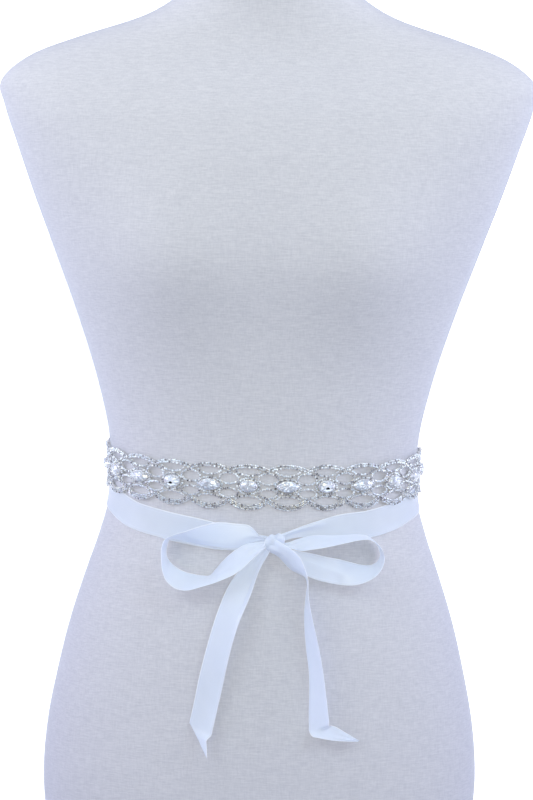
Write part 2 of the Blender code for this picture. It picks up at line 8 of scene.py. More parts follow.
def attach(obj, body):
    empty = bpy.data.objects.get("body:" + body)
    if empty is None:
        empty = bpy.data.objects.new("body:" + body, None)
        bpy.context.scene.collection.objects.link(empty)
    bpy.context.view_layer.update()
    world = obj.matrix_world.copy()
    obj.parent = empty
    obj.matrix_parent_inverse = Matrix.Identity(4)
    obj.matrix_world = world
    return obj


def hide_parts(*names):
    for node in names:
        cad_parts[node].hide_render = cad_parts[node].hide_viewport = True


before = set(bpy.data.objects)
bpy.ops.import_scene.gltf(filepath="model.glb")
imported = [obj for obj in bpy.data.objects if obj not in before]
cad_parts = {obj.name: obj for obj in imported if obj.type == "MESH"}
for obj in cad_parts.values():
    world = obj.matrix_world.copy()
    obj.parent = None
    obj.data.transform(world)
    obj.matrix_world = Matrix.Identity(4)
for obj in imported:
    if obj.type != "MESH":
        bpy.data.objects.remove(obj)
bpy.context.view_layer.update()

# A rhinestone belt with a satin bow on a dress form. Metres, +Z up, the front faces -Y.
# A place on the form has a turn (radians from the front, growing towards +X) and a height.


# Shader helpers

# Wraps a number socket, so that sums on it add Math nodes.
class Maths:
    def __init__(self, tree, socket):
        self.tree = tree
        self.socket = socket

    # One Math node on one or two values.
    def apply(self, operation, *values):
        return self.tree.node("ShaderNodeMath", {"operation": operation}, dict(enumerate(values)))

    def __add__(self, other):
        return self.apply("ADD", self, other)

    def __sub__(self, other):
        return self.apply("SUBTRACT", self, other)

    def __rsub__(self, other):
        return self.apply("SUBTRACT", other, self)

    def __mul__(self, other):
        return self.apply("MULTIPLY", self, other)

    def __pow__(self, other):
        return self.apply("POWER", self, other)

    def __abs__(self):
        return self.apply("ABSOLUTE", self)

    def sin(self):
        return self.apply("SINE", self)

    def clip(self):  # kept between 0 and 1
        return self.tree.node("ShaderNodeClamp", {}, {"Value": self})

    def ramp(self, start, slope):  # 0 up to start, then rising to 1
        return ((self - start) * slope).clip()

    __radd__ = __add__
    __rmul__ = __mul__


# The nodes of one material or world.
class Tree:
    def __init__(self, nodeTree):
        self.nodes = nodeTree.nodes
        self.links = nodeTree.links

    # Adds one node: its settings first, then the value or the link of each input.
    def node(self, kind, settings, inputs, output=0):
        made = self.nodes.new(kind)
        for name, value in settings.items():
            setattr(made, name, value)
        for name, value in inputs.items():
            if isinstance(value, Maths):
                self.links.new(value.socket, made.inputs[name])
            else:
                made.inputs[name].default_value = value
        return Maths(self, made.outputs[output])

    def place(self):  # Object coordinates, in metres
        return self.node("ShaderNodeTexCoord", {}, {}, 3)

    def attribute(self, name):  # a number kept on the mesh
        return self.node("ShaderNodeAttribute", {"attribute_name": name}, {}, 2)

    def parts(self, vector):  # x, y and z of a vector
        split = self.node("ShaderNodeSeparateXYZ", {}, {"Vector": vector}).socket.node
        return [Maths(self, out) for out in split.outputs]

    def noise(self, vector, scale, detail, roughness):
        inputs = {"Vector": vector, "Scale": scale, "Detail": detail, "Roughness": roughness}
        return self.node("ShaderNodeTexNoise", {}, inputs)

    def streaks(self, vector, scales, detail, roughness):  # noise with a scale for each axis
        stretched = self.node("ShaderNodeMapping", {}, {"Vector": vector, "Scale": scales})
        return self.noise(stretched, 1.0, detail, roughness)

    def mixColour(self, share, first, second):  # from first at 0 to second at 1
        inputs = {0: share, 6: first, 7: second}
        return self.node("ShaderNodeMix", {"data_type": "RGBA"}, inputs, 2)

    def bump(self, height, strength, distance):
        inputs = {"Height": height, "Strength": strength, "Distance": distance}
        return self.node("ShaderNodeBump", {}, inputs)


# A Principled material: fixed holds its constant sockets, and build links those that vary.
def newMaterial(name, fixed, build):
    material = bpy.data.materials.new(name)
    material.use_nodes = True
    tree = Tree(material.node_tree)
    shader = tree.nodes["Principled BSDF"]
    for socket, value in fixed.items():
        shader.inputs[socket].default_value = value
    for socket, value in build(tree).items():
        tree.links.new(value.socket, shader.inputs[socket])
    return material


def grey(value):  # the same red, green and blue
    return (value, value, value, 1)


# Shape helpers
tiny = 1e-12  # least length that is divided by


# Cubic pieces through (knots, values): each has its two ends' values and slopes, and a knot's
# slope is taken from its neighbours.
def smoothCurve(knots, values, at):
    knots = np.asarray(knots, float)
    values = np.asarray(values, float)
    slopes = np.gradient(values, knots)
    i = np.clip(np.searchsorted(knots, at) - 1, 0, len(knots) - 2)
    gap = knots[i + 1] - knots[i]
    t = (at - knots[i]) / gap
    return (
        (1 + 2 * t) * (1 - t) ** 2 * values[i]
        + t * (1 - t) ** 2 * gap * slopes[i]
        + t**2 * (3 - 2 * t) * values[i + 1]
        + t**2 * (t - 1) * gap * slopes[i + 1]
    )


# 0 up to low and 1 from high, with three squares less two cubes of the share between.
def softStep(low, high, at):
    t = np.clip((at - low) / (high - low), 0.0, 1.0)
    return t * t * (3 - 2 * t)


# The value's size to a power, with the value's own sign.
def signedPower(value, power):
    return np.sign(value) * np.abs(value) ** power


# Each vector over its length.
def unit(vectors):
    return vectors / np.maximum(np.linalg.norm(vectors, axis=-1, keepdims=True), tiny)


# How far along a line each of its points is: the running sum of the steps between them.
def walkLength(line):
    return np.concatenate([[0], np.cumsum(np.linalg.norm(np.diff(line, axis=0), axis=1))])


# Puts arrays of points and faces into one object that rides on the body.
def finishPiece(name, points, faces, materials, smooth=True, materialIndex=None):
    mesh = bpy.data.meshes.new(name)
    mesh.from_pydata(np.asarray(points).reshape(-1, 3).tolist(), [], faces)
    for material in materials:
        mesh.materials.append(material)
    if materialIndex is not None:
        mesh.polygons.foreach_set("material_index", materialIndex)
    mesh.polygons.foreach_set("use_smooth", np.full(len(mesh.polygons), smooth))
    mesh.update()
    piece = bpy.data.objects.new(name, mesh)
    bpy.context.scene.collection.objects.link(piece)
    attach(piece, "root")
    return piece


# Quads of a grid of points, as an array of indexes: each joins a point, the next in its row and
# the two after them in the next row.
def gridFaces(rows, columns, closeRows=False, closeColumns=False):
    index = np.arange(rows * columns).reshape(rows, columns)
    if closeRows:
        index = np.concatenate([index, index[:1]], axis=0)
    if closeColumns:
        index = np.concatenate([index, index[:, :1]], axis=1)
    corners = [index[:-1, :-1], index[:-1, 1:], index[1:, 1:], index[1:, :-1]]
    return np.stack(corners, axis=-1).reshape(-1, 4)


# Dress form
formShape = {
    "pointsRound": 176,
    "levels": 190,
    "rim": 0.0015,  # from each flat end to the first level
    "endShares": (0.05, 0.35, 0.65, 0.9, 0.988),  # rings that close a flat end, as shares of it
    "bustApart": 0.080,
    "bustHeight": 0.469,
    "bustSpread": 0.045,
    "bustRise": 0.017,
    "seamDepth": 0.0007,
    "seamHalfWide": 0.0012,
    "seamTurns": (0.0025, 0.005, 0.009, 0.014),  # extra points on each side of the seam
}
formRows = np.array([  # height, half width, front, back, power of the plan outline
    (0.000, 0.1690, 0.0955, 0.110, 2.25),
    (0.060, 0.1737, 0.1010, 0.120, 2.25),
    (0.100, 0.1705, 0.1030, 0.122, 2.20),
    (0.140, 0.1630, 0.1020, 0.116, 2.20),
    (0.180, 0.1535, 0.1000, 0.106, 2.15),
    (0.220, 0.1410, 0.0970, 0.096, 2.10),
    (0.250, 0.1308, 0.0945, 0.089, 2.10),
    (0.275, 0.1240, 0.0930, 0.084, 2.10),
    (0.300, 0.1217, 0.0920, 0.082, 2.10),
    (0.330, 0.1240, 0.0925, 0.083, 2.10),
    (0.370, 0.1330, 0.0945, 0.086, 2.10),
    (0.420, 0.1487, 0.0980, 0.092, 2.15),
    (0.470, 0.1670, 0.1030, 0.099, 2.20),
    (0.520, 0.1860, 0.1000, 0.104, 2.20),
    (0.560, 0.2000, 0.0930, 0.102, 2.20),
    (0.590, 0.2100, 0.0810, 0.092, 2.20),
    (0.607, 0.2135, 0.0700, 0.083, 2.10),
    (0.620, 0.2030, 0.0610, 0.074, 2.00),
    (0.632, 0.1840, 0.0540, 0.066, 1.90),
    (0.645, 0.1490, 0.0490, 0.060, 1.80),
    (0.661, 0.1010, 0.0460, 0.056, 1.80),
    (0.677, 0.0740, 0.0450, 0.053, 1.90),
    (0.695, 0.0570, 0.0460, 0.050, 2.00),
    (0.715, 0.0540, 0.0470, 0.049, 2.00),
    (0.733, 0.0540, 0.0475, 0.049, 2.00),
])


# Half width, front depth, back depth and squareness at a height.
def formLevels(height):
    return [smoothCurve(formRows[:, 0], column, height) for column in formRows[:, 1:].T]


# Two bell-shaped mounds on the front, which fade to nothing at the sides.
def bustStands(across, height, facing):
    spread = 2 * formShape["bustSpread"] ** 2
    up = (height - formShape["bustHeight"]) ** 2
    mounds = sum(
        np.exp(-((across - side * formShape["bustApart"]) ** 2 + up) / spread)
        for side in (-1, 1)
    )
    return formShape["bustRise"] * np.clip(facing, 0, 1) * mounds


# The form's skin: a superellipse round the turn, whose half sizes change with the height.
def formPoint(turn, height):
    halfWide, front, back, squareness = formLevels(height)
    facing = np.cos(turn)
    across = halfWide * signedPower(np.sin(turn), 2 / squareness)
    depth = np.where(facing > 0, front, back) * signedPower(facing, 2 / squareness)
    depth = depth + bustStands(across, height, facing)
    return np.stack(np.broadcast_arrays(across, -depth, height), axis=-1)


# Skin points, the way round and the way out, which is round crossed with up.
def formFrame(turn, height):
    nudge = 1e-4
    roundWay = formPoint(turn + nudge, height) - formPoint(turn - nudge, height)
    upWay = formPoint(turn, height + nudge) - formPoint(turn, height - nudge)
    return formPoint(turn, height), unit(roundWay), unit(np.cross(roundWay, upWay))


# Y of the form's front at a place seen from the front: the superellipse solved for its depth.
def skinDepth(across, height):
    halfWide, front, _, squareness = formLevels(height)
    side = np.clip(np.abs(across / halfWide), 0, 1) ** (squareness / 2)
    facing = np.sqrt(1 - side**2)
    return -(front * facing ** (2 / squareness) + bustStands(across, height, facing))


# Rings of the skin from the base to the neck, pushed in by a bell curve of the distance from the
# seam down the middle of the back. Each flat end closes with rings that shrink to a small one.
def buildForm(jersey):
    aside = np.array(formShape["seamTurns"])
    turn = np.linspace(0, 2 * math.pi, formShape["pointsRound"], endpoint=False)
    turn = np.sort(np.concatenate([turn, math.pi - aside, math.pi + aside]))
    top = formRows[-1, 0]
    height = np.linspace(formShape["rim"], top - formShape["rim"], formShape["levels"])
    skin, _, out = formFrame(turn[None, :], height[:, None])
    fromSeam = np.abs(skin[..., 0]) / formShape["seamHalfWide"]
    trough = formShape["seamDepth"] * np.exp(-fromSeam**2) * (skin[..., 1] > 0)
    skin = skin - out * trough[..., None]
    shares = np.array(formShape["endShares"])[:, None, None]
    ends = []
    for ring, level in ((skin[0], 0.0), (skin[-1], top)):
        middle = ring.mean(axis=0)
        flat = middle + (ring - middle) * shares
        flat[..., 2] = level
        ends.append(flat)
    rings = np.concatenate([ends[0], skin, ends[1][::-1]])
    levels, count, _ = rings.shape
    faces = gridFaces(levels, count, closeColumns=True).tolist()
    faces.append(list(range(count - 1, -1, -1)))
    faces.append(list(range((levels - 1) * count, levels * count)))
    piece = finishPiece("dressForm", rings, faces, [jersey])
    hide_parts("form_torso")


jerseyLook = {
    "dark": (0.575, 0.590, 0.640, 1),
    "light": (0.690, 0.702, 0.745, 1),
    "slub": ((130, 130, 1000), 3.0, 0.65),  # scales, detail and roughness of the noise
    "wale": ((900, 900, 150), 2.0, 0.5),
    "patch": (9.0, 2.0, 0.5),
    "tone": (2.3, 1.1, 0.3),  # how much slub, wale and patch colour it
    "knitRow": 0.0011,
    "relief": (0.8, 0.5, 0.25),  # how far slub, wale and knit row stand out
    "bump": (0.35, 0.0003),  # strength, distance
    "rough": (0.75, 0.2),  # least, and how much more on a slub
    "fixed": {"Sheen Weight": 0.7, "Sheen Roughness": 0.3, "Sheen Tint": (0.78, 0.86, 1.0, 1),
              "Specular IOR Level": 0.25},
}


# Slubs stretched round the form, upright wales, faint uneven patches, and knit rows as a sine of
# the height.
def jerseyNodes(tree):
    place = tree.place()
    slub = tree.streaks(place, *jerseyLook["slub"])
    wale = tree.streaks(place, *jerseyLook["wale"])
    patch = tree.noise(place, *jerseyLook["patch"])
    _, _, z = tree.parts(place)
    rows = (z * (2 * math.pi / jerseyLook["knitRow"])).sin() * 0.5 + 0.5
    bySlub, byWale, byPatch = jerseyLook["tone"]
    tone = (slub - 0.5) * bySlub + (wale - 0.5) * byWale + (patch - 0.5) * byPatch + 0.5
    colour = tree.mixColour(tone.clip(), jerseyLook["dark"], jerseyLook["light"])
    bySlub, byWale, byRow = jerseyLook["relief"]
    relief = slub * bySlub + wale * byWale + rows * byRow
    normal = tree.bump(relief, *jerseyLook["bump"])
    least, bySlub = jerseyLook["rough"]
    return {"Base Color": colour, "Normal": normal, "Roughness": (slub * bySlub + least).clip()}


# Applique
beltShape = {
    "motif": 0.03025,
    "motifs": 14,
    "shift": 0.0037,
    "frontHeight": 0.2965,
    "backRise": 0.0085,
    "tilt": 0.0015,
    "skinGap": 0.0005,
    "overRibbon": 0.0014,
    "liftFrom": 0.055,
    "liftTo": 0.088,
    "top": (0.0174, 0.0138),  # height on an edge's crowns and in its notches
    "foot": (-0.0190, -0.0130),
    "scallopPower": 0.75,
    # rows of chain by each edge: how far up from it, and the stones' length in stone widths
    "topRows": ((-0.0009, 1.0), (-0.0026, 1.15)),
    "footRows": ((0.0010, 1.0), (0.0025, 1.0), (0.0040, 1.0)),
    "edgePoints": 60,
    "arcPoints": 40,
    "chainHalfWide": 0.0005,
    "chainThick": 0.0005,
    # section of the chain, in half widths and thicknesses
    "chainSection": ((-1, 0), (-1, 0.55), (-0.5, 1), (0.5, 1), (1, 0.55), (1, 0)),
}
# arcs of chain: middle's height, half width, rise above it, fall below it, the stones' length
arcShape = {
    "oval": (0.0, 0.0083, 0.0062, 0.0062, 1.3),
    "navette": (0.0, 0.0097, 0.0057, 0.0057, 1.3),
    "upperSide": (0.0058, 0.0075, 0.0044, 0.0043, 1.2),
    "lowerSide": (-0.0054, 0.0073, 0.0034, 0.0037, 1.2),
    "upperSwag": (0.0124, 0.0092, 0.0030, 0.0043, 1.2),
    "lowerSwag": (-0.0110, 0.0098, 0.0035, 0.0036, 1.2),
}
halfMotif = beltShape["motif"] / 2
motifNumbers = np.arange(beltShape["motifs"])
motifMiddles = (motifNumbers - (beltShape["motifs"] - 1) / 2) * beltShape["motif"]
motifCuts = np.where(motifNumbers % 2 == 0, "oval", "navette")  # cut of each centre stone


# Height of the applique's middle: it rises towards the back and tilts a little to one side.
def beltHeight(turn):
    rise = beltShape["backRise"] * (1 - np.cos(turn)) - beltShape["tilt"] * np.sin(turn)
    return beltShape["frontHeight"] + rise


# turns all the way round, how far along the applique's middle each is, and where the front is
beltWalk = np.linspace(-math.pi, math.pi, 1441)
beltWalked = walkLength(formPoint(beltWalk, beltHeight(beltWalk)))
beltFront = np.interp(0.0, beltWalk, beltWalked)


# Carries flat places on the applique round the form: along it, up and out. Away from the front
# it stands a little further out, over the ribbon.
def beltPlace(along, up, out):
    shifted = along + beltShape["shift"]
    turn = np.interp(shifted + beltFront, beltWalked, beltWalk)
    skin, _, normal = formFrame(turn, beltHeight(turn) + up)
    ends = softStep(beltShape["liftFrom"], beltShape["liftTo"], np.abs(shifted))
    lift = beltShape["skinGap"] + beltShape["overRibbon"] * ends + out
    return skin + normal * np.asarray(lift)[..., None]


# Places with their three axes: along, up and out.
def beltFrame(along, up, out):
    nudge = 1e-4
    here = beltPlace(along, up, out)
    x = unit(beltPlace(along + nudge, up, out) - here)
    above = beltPlace(along, up + nudge, out) - here
    z = unit(np.cross(x, above))
    return here, np.stack([x, np.cross(z, x), z], axis=-2)


# Height of a scalloped edge: from notch to crown as a power of the cosine along the motif.
def scallop(along, crown, notch):
    arch = np.abs(np.cos(math.pi * along / beltShape["motif"])) ** beltShape["scallopPower"]
    return notch + (crown - notch) * arch


# A chain along an edge's scallops, up from them by a little, with its stones' length.
def edgeRow(edge, above, longer):
    along = np.linspace(-halfMotif, halfMotif, beltShape["edgePoints"])
    return np.stack([along, scallop(along, *beltShape[edge]) + above], axis=1), longer


# Part of a ring whose top and bottom halves have their own heights, from one angle to another in
# degrees, with its stones' length.
def arc(name, middle, start, stop, count=beltShape["arcPoints"]):
    height, wide, rise, fall, longer = arcShape[name]
    angle = np.radians(np.linspace(start, stop, count))
    reach = np.where(np.sin(angle) > 0, rise, fall)
    x, y = middle + wide * np.cos(angle), height + reach * np.sin(angle)
    return np.stack([x, y], axis=1), longer


# Chains of one motif round its centre stone, in the order in which they take stones.
def chainCurves(cut):
    top = [edgeRow("top", *row) for row in beltShape["topRows"]]
    foot = [edgeRow("foot", *row) for row in beltShape["footRows"]]
    ring = arc(cut, 0, 0, 360, beltShape["edgePoints"])
    curves = [top[0], foot[0], ring, top[1], foot[1]]
    for middle, start in ((halfMotif, 90), (-halfMotif, -90)):
        curves += [arc(name, middle, start, start + 180) for name in ("upperSide", "lowerSide")]
    return [*curves, foot[2], arc("upperSwag", 0, 185, 355), arc("lowerSwag", 0, 5, 175)]


# Flat metal chain under the small stones: a low arched strip carried along every curve.
def buildChains(silver):
    section = np.array(beltShape["chainSection"])
    section = section * (beltShape["chainHalfWide"], beltShape["chainThick"])
    points, faces, start = [], [], 0
    for middle, cut in zip(motifMiddles, motifCuts):
        for curve, _ in chainCurves(cut):
            way = unit(np.gradient(curve, axis=0))
            side = np.stack([way[:, 1], -way[:, 0]], axis=1)
            flat = curve[:, None, :] + side[:, None, :] * section[None, :, :1]
            out = np.broadcast_to(section[None, :, 1], flat.shape[:2])
            strip = beltPlace(flat[..., 0] + middle, flat[..., 1], out)
            rows, columns = strip.shape[:2]
            made = gridFaces(rows, columns, closeColumns=True) + start
            points.append(strip.reshape(-1, 3))
            faces += made.tolist()
            faces.append((start + np.arange(columns)).tolist())
            faces.append((start + (rows - 1) * columns + np.arange(columns)[::-1]).tolist())
            start += rows * columns
    points = np.concatenate(points)
    piece = finishPiece("appliqueChains", points, faces, [silver])
    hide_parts("applique")


# Stone helpers

# Copies one small shape to many places: each point, scaled, along the place's axes.
def copyAll(points, faces, here, axes, size):
    scaled = points[None] * size[:, None, :]
    placed = here[:, None, :] + np.einsum("nvk,nkc->nvc", scaled, axes)
    shift = np.arange(len(here)) * len(points)
    made = [[i + base for i in face] for base in shift for face in faces]
    return placed.reshape(-1, 3), made


# Turns each set of axes about its own out direction: the other two mix by cosine and sine.
def turnedAxes(axes, angle):
    c, s = np.cos(angle)[:, None], np.sin(angle)[:, None]
    x, y, z = axes[:, 0], axes[:, 1], axes[:, 2]
    return np.stack([x * c + y * s, y * c - x * s, z], axis=1)


# A cut stone of count sides: rings, each (share, height, shifted half a step), joined by quads,
# or by triangles where one is shifted. peak closes the top with a fan. With each face goes its
# kind: 0 for stone, and 1 for metal, which is the foot and the band of quads on it.
def facetedShape(count, levels, peak=None):
    rings = []
    for share, high, shifted in levels:
        angle = (np.arange(count) + 0.5 * shifted) / count * 2 * math.pi
        x, y = share * np.cos(angle), share * np.sin(angle)
        rings.append(np.stack([x, y, np.full(count, high)], axis=1))
    points = np.concatenate(rings)
    faces = [list(range(count - 1, -1, -1))]
    for ring, (below, above) in enumerate(zip(levels, levels[1:])):
        low, high = ring * count, (ring + 1) * count
        for i in range(count):
            j = (i + 1) % count
            if below[2] == above[2]:
                faces.append([low + i, low + j, high + j, high + i])
            elif above[2]:
                faces += [[low + i, low + j, high + i], [low + j, high + j, high + i]]
            else:
                faces += [[low + i, high + j, high + i], [low + i, low + j, high + j]]
    last = (len(levels) - 1) * count
    if peak is None:
        faces.append(list(range(last, last + count)))
    else:
        points = np.vstack([points, [0, 0, peak]])
        faces += [[last + i, last + (i + 1) % count, len(points) - 1] for i in range(count)]
    return points, faces, (np.arange(len(faces)) <= count).astype(int)


# A random brightness for each stone and each facet, painted into the colour as painted reflections,
# as cut stones mirror lights and dark places.
# dark is the share that is dark, byStone how much a stone's facets are alike.
def paintedGleams(stones, facets, seed, dark, byStone):
    rng = np.random.default_rng(seed)
    darkMost, lightLeast = 0.2, 0.42
    stone, facet = (
        np.where(
            value < dark,
            value / dark * darkMost,
            lightLeast + (1 - lightLeast) * (value - dark) / (1 - dark),
        )
        for value in (rng.random((stones, 1)), rng.random((stones, facets)))
    )
    return np.clip(stone * byStone + facet * (1 - byStone), 0, 1)


# Keeps the painted reflection's brightness for each face, which the crystal reads.
def addPaintedGleam(piece, value):
    layer = piece.data.attributes.new("paintedGleam", "FLOAT", "FACE")
    layer.data.foreach_set("value", value.ravel().astype(np.float32))


# Small stones
smallStoneShape = {
    "across": 0.00150,
    "high": 0.0012,
    "pitch": 0.00160,
    "apart": 0.00136,  # least distance between two middles
    "zigzag": 0.00020,
    "seat": 0.8,  # share of the chain's thickness that the cups stand on
    "slimmer": 0.12,  # how much narrower a stone gets as it gets longer
    "sizes": (0.92, 1.04),
    "turned": 0.12,
    "leant": 0.10,
    "sides": 8,
    "rings": ((0.86, 0.0, 0), (1.0, 0.50, 0), (0.60, 1.0, 1)),
    "seeds": (7, 21),
    "dark": 0.22,
    "alike": 0.80,
    # painted light: side facets painted dimmer than the table, and stones painted brighter the
    # higher they sit
    "sidePaintedGleam": 0.90,  # brightness of the facets round a stone's table
    "paintedTopLight": 8.0,  # how much brighter a stone is for each metre that it is higher
}


# Points along a curve, evenly apart, and the curve's angle at each.
def walkEvenly(curve, apart):
    walked = walkLength(curve)
    count = max(2, int(round(walked[-1] / apart)))
    at = (np.arange(count) + 0.5) / count * walked[-1]
    nudge = 2e-4
    here, ahead = (
        np.stack([np.interp(place, walked, curve[:, k]) for k in (0, 1)], axis=1)
        for place in (at, at + nudge)
    )
    way = ahead - here
    return here, np.arctan2(way[:, 1], way[:, 0])


# Small stones of one motif: each curve takes those that stay clear of the ones before it, here
# and in the motif beside it.
def motifStones(cut):
    taken = np.zeros((0, 4))
    for curve, longer in chainCurves(cut):
        points, angle = walkEvenly(curve, smallStoneShape["pitch"])
        side = np.where(np.arange(len(angle)) % 2, 1, -1) * smallStoneShape["zigzag"]
        points = points + side[:, None] * np.stack([-np.sin(angle), np.cos(angle)], axis=1)
        for point, turned in zip(points, angle):
            away = np.linalg.norm(taken[:, :2] - point, axis=1)
            across = np.abs(np.abs(taken[:, 0] - point[0]) - beltShape["motif"])
            wrapped = np.hypot(across, taken[:, 1] - point[1])
            if len(taken) == 0 or min(away.min(), wrapped.min()) > smallStoneShape["apart"]:
                taken = np.vstack([taken, [*point, turned, longer]])
    return taken


# Small stones in cups on every chain, turned, leant and sized a little unevenly.
def buildSmallStones(crystal, silver):
    seed, gleamSeed = smallStoneShape["seeds"]
    rng = np.random.default_rng(seed)
    places = []
    for middle, cut in zip(motifMiddles, motifCuts):
        stones = motifStones(cut)
        stones[:, 0] += middle
        places.append(stones)
    along, up, angle, longer = np.concatenate(places).T
    count = len(along)
    seat = np.full(count, beltShape["chainThick"] * smallStoneShape["seat"])
    here, axes = beltFrame(along, up, seat)
    axes = turnedAxes(axes, angle + rng.normal(0, smallStoneShape["turned"], count))
    lean = rng.normal(0, smallStoneShape["leant"], (count, 2))
    leanX, leanY = lean[:, :1], lean[:, 1:]
    x, y, z = axes[:, 0], axes[:, 1], axes[:, 2]
    axes = unit(axes + np.stack([leanX * z, leanY * z, -leanX * x - leanY * y], axis=1))
    radius = smallStoneShape["across"] / 2 * rng.uniform(*smallStoneShape["sizes"], count)
    wide = radius * (1 + smallStoneShape["slimmer"] * (1 - longer))
    size = np.stack([wide, radius * longer, np.full(count, smallStoneShape["high"])], axis=1)
    points, faces, kinds = facetedShape(smallStoneShape["sides"], smallStoneShape["rings"])
    placed, made = copyAll(points, faces, here, axes, size)
    allKinds = np.tile(kinds, count)
    piece = finishPiece("smallStones", placed, made, [crystal, silver], False, allKinds)
    value = paintedGleams(count, len(faces), gleamSeed, smallStoneShape["dark"], smallStoneShape["alike"])
    # painted light: side facets dimmer, and stones higher up the applique painted brighter
    value[:, :-1] *= smallStoneShape["sidePaintedGleam"]
    value *= 1 + smallStoneShape["paintedTopLight"] * up[:, None]
    addPaintedGleam(piece, value)
    print("small stones", count)


# Centre stones
centreShape = {
    "oval": {"size": (0.0066, 0.0047), "point": 1.0, "claws": 6, "seed": 5},
    "navette": {"size": (0.0083, 0.0044), "point": 1.35, "claws": 4, "seed": 6},
    "base": 0.0006,
    "high": 0.0042,
    "facets": 16,
    # two rings of the cup, two of its rim and two of the crown
    "rings": ((1.10, 0.0, 0), (1.08, 0.25, 0), (1.0, 0.40, 0), (0.96, 0.42, 0),
              (0.78, 0.74, 1), (0.46, 0.94, 0)),
    # painted reflections of the centre stones: the share of dark facets, their grey, and painted
    # flashes
    "dark": 0.72,
    "darkPaintedGleam": (0.30, 1.4),  # brightness of the darkest facets, and how it grows
    "paintedFlashes": (4, 8),  # stones that mirror one dark and one bright place
    "flashFacets": (10, 14),
    "flashRest": 0.75,
    "clawSides": 8,
    "clawSize": (0.0008, 0.0005, 0.0034),
    "clawRings": ((1.0, 0.0, 0), (1.0, 0.6, 0), (0.75, 0.9, 0), (0.3, 1.0, 0)),
    "clawBend": 0.9,
    "clawBendFrom": 0.3,
}


# A painted brightness for each facet, as painted reflections, with the dark ones lifted to grey. A
# painted flash darkens a quarter of the fan round the peak and lights the facets outside it.
def centrePaintedGleams(number, facets, faces, seed):
    value = paintedGleams(len(number), faces, seed, centreShape["dark"], 0.0)
    least, grows = centreShape["darkPaintedGleam"]
    value[value < 0.5] = least + grows * value[value < 0.5]
    low, high = centreShape["flashFacets"]
    fan = faces - facets
    for stone in np.flatnonzero(np.isin(number, centreShape["paintedFlashes"])):
        value[stone, fan:] = centreShape["flashRest"]
        value[stone, fan + low : fan + high] = 0.0
        value[stone, fan - 2 * (facets - low) : fan - 2 * (facets - high)] = 1.0
    return value


# Claws round each stone at even angles: upright pins whose tips bend in over its rim.
def buildClaws(cut, here, axes, silver):
    values = centreShape[cut]
    angle = (np.arange(values["claws"]) + 0.5) / values["claws"] * 2 * math.pi
    x = values["size"][0] * np.cos(angle)
    y = values["size"][1] * signedPower(np.sin(angle), values["point"])
    points, faces, _ = facetedShape(centreShape["clawSides"], centreShape["clawRings"])
    bend = softStep(centreShape["clawBendFrom"], 1.0, points[:, 2])
    points[:, 0] -= centreShape["clawBend"] * bend
    spots, frames = [], []
    for base, frameAxes in zip(here, axes):
        spots.append(base + np.stack([x, y], axis=1) @ frameAxes[:2])
        frames.append(turnedAxes(np.tile(frameAxes, (len(x), 1, 1)), np.arctan2(y, x)))
    spots, frames = np.concatenate(spots), np.concatenate(frames)
    size = np.tile(centreShape["clawSize"], (len(spots), 1))
    placed, made = copyAll(points, faces, spots, frames, size)
    finishPiece(f"{cut}Claws", placed, made, [silver])


# The large stones of one cut: a cup, its rim and a crown of triangles that rise to a low peak,
# drawn to pointed ends on the navettes by a power of the sine.
def buildCentreStones(cut, crystal, silver):
    values = centreShape[cut]
    facets = centreShape["facets"]
    points, faces, kinds = facetedShape(facets, centreShape["rings"], peak=1.0)
    kinds[: 1 + 3 * facets] = 1  # the cup and its rim are metal
    angle = np.arctan2(points[:, 1], points[:, 0])
    points[:, 1] = np.hypot(*points[:, :2].T) * signedPower(np.sin(angle), values["point"])
    number = motifNumbers[motifCuts == cut]
    count = len(number)
    base = np.full(count, centreShape["base"])
    here, axes = beltFrame(motifMiddles[number], np.zeros(count), base)
    size = np.tile([*values["size"], centreShape["high"]], (count, 1))
    placed, made = copyAll(points, faces, here, axes, size)
    allKinds = np.tile(kinds, count)
    name = f"{cut}Stones"
    piece = finishPiece(name, placed, made, [crystal, silver], False, allKinds)
    addPaintedGleam(piece, centrePaintedGleams(number, facets, len(faces), values["seed"]))
    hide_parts(*[f"stone_{cut}_{i + 1:02d}" for i in number])
    buildClaws(cut, here, axes, silver)


crystalLook = {
    # black and dark colour the facets' painted dark reflections, cool and warm their painted bright
    # ones
    "black": grey(0.01),
    "dark": (0.28, 0.28, 0.32, 1),
    "cool": (0.78, 0.89, 1.0, 1),
    "warm": (0.95, 0.95, 0.97, 1),
    "paintedGlint": (0.85, 0.94, 1.0, 1),
    "tint": (700.0, 1.0, 0.5),  # scale, detail and roughness of the noise
    # where each change starts, and how steep it is
    "toDark": (0.0, 12.0),
    "toPale": (0.1, 1.8),
    "toPaintedGlint": (0.7, 4.0),
    "toWarm": (0.45, 5.0),
    "rough": (0.26, 0.12),  # most, and how much less on a bright facet
    # the emission makes the brightest facets glow: a painted glint
    "fixed": {"Metallic": 0.3, "Coat Weight": 0.2, "Coat Roughness": 0.1,
              "Emission Strength": 0.45},
}


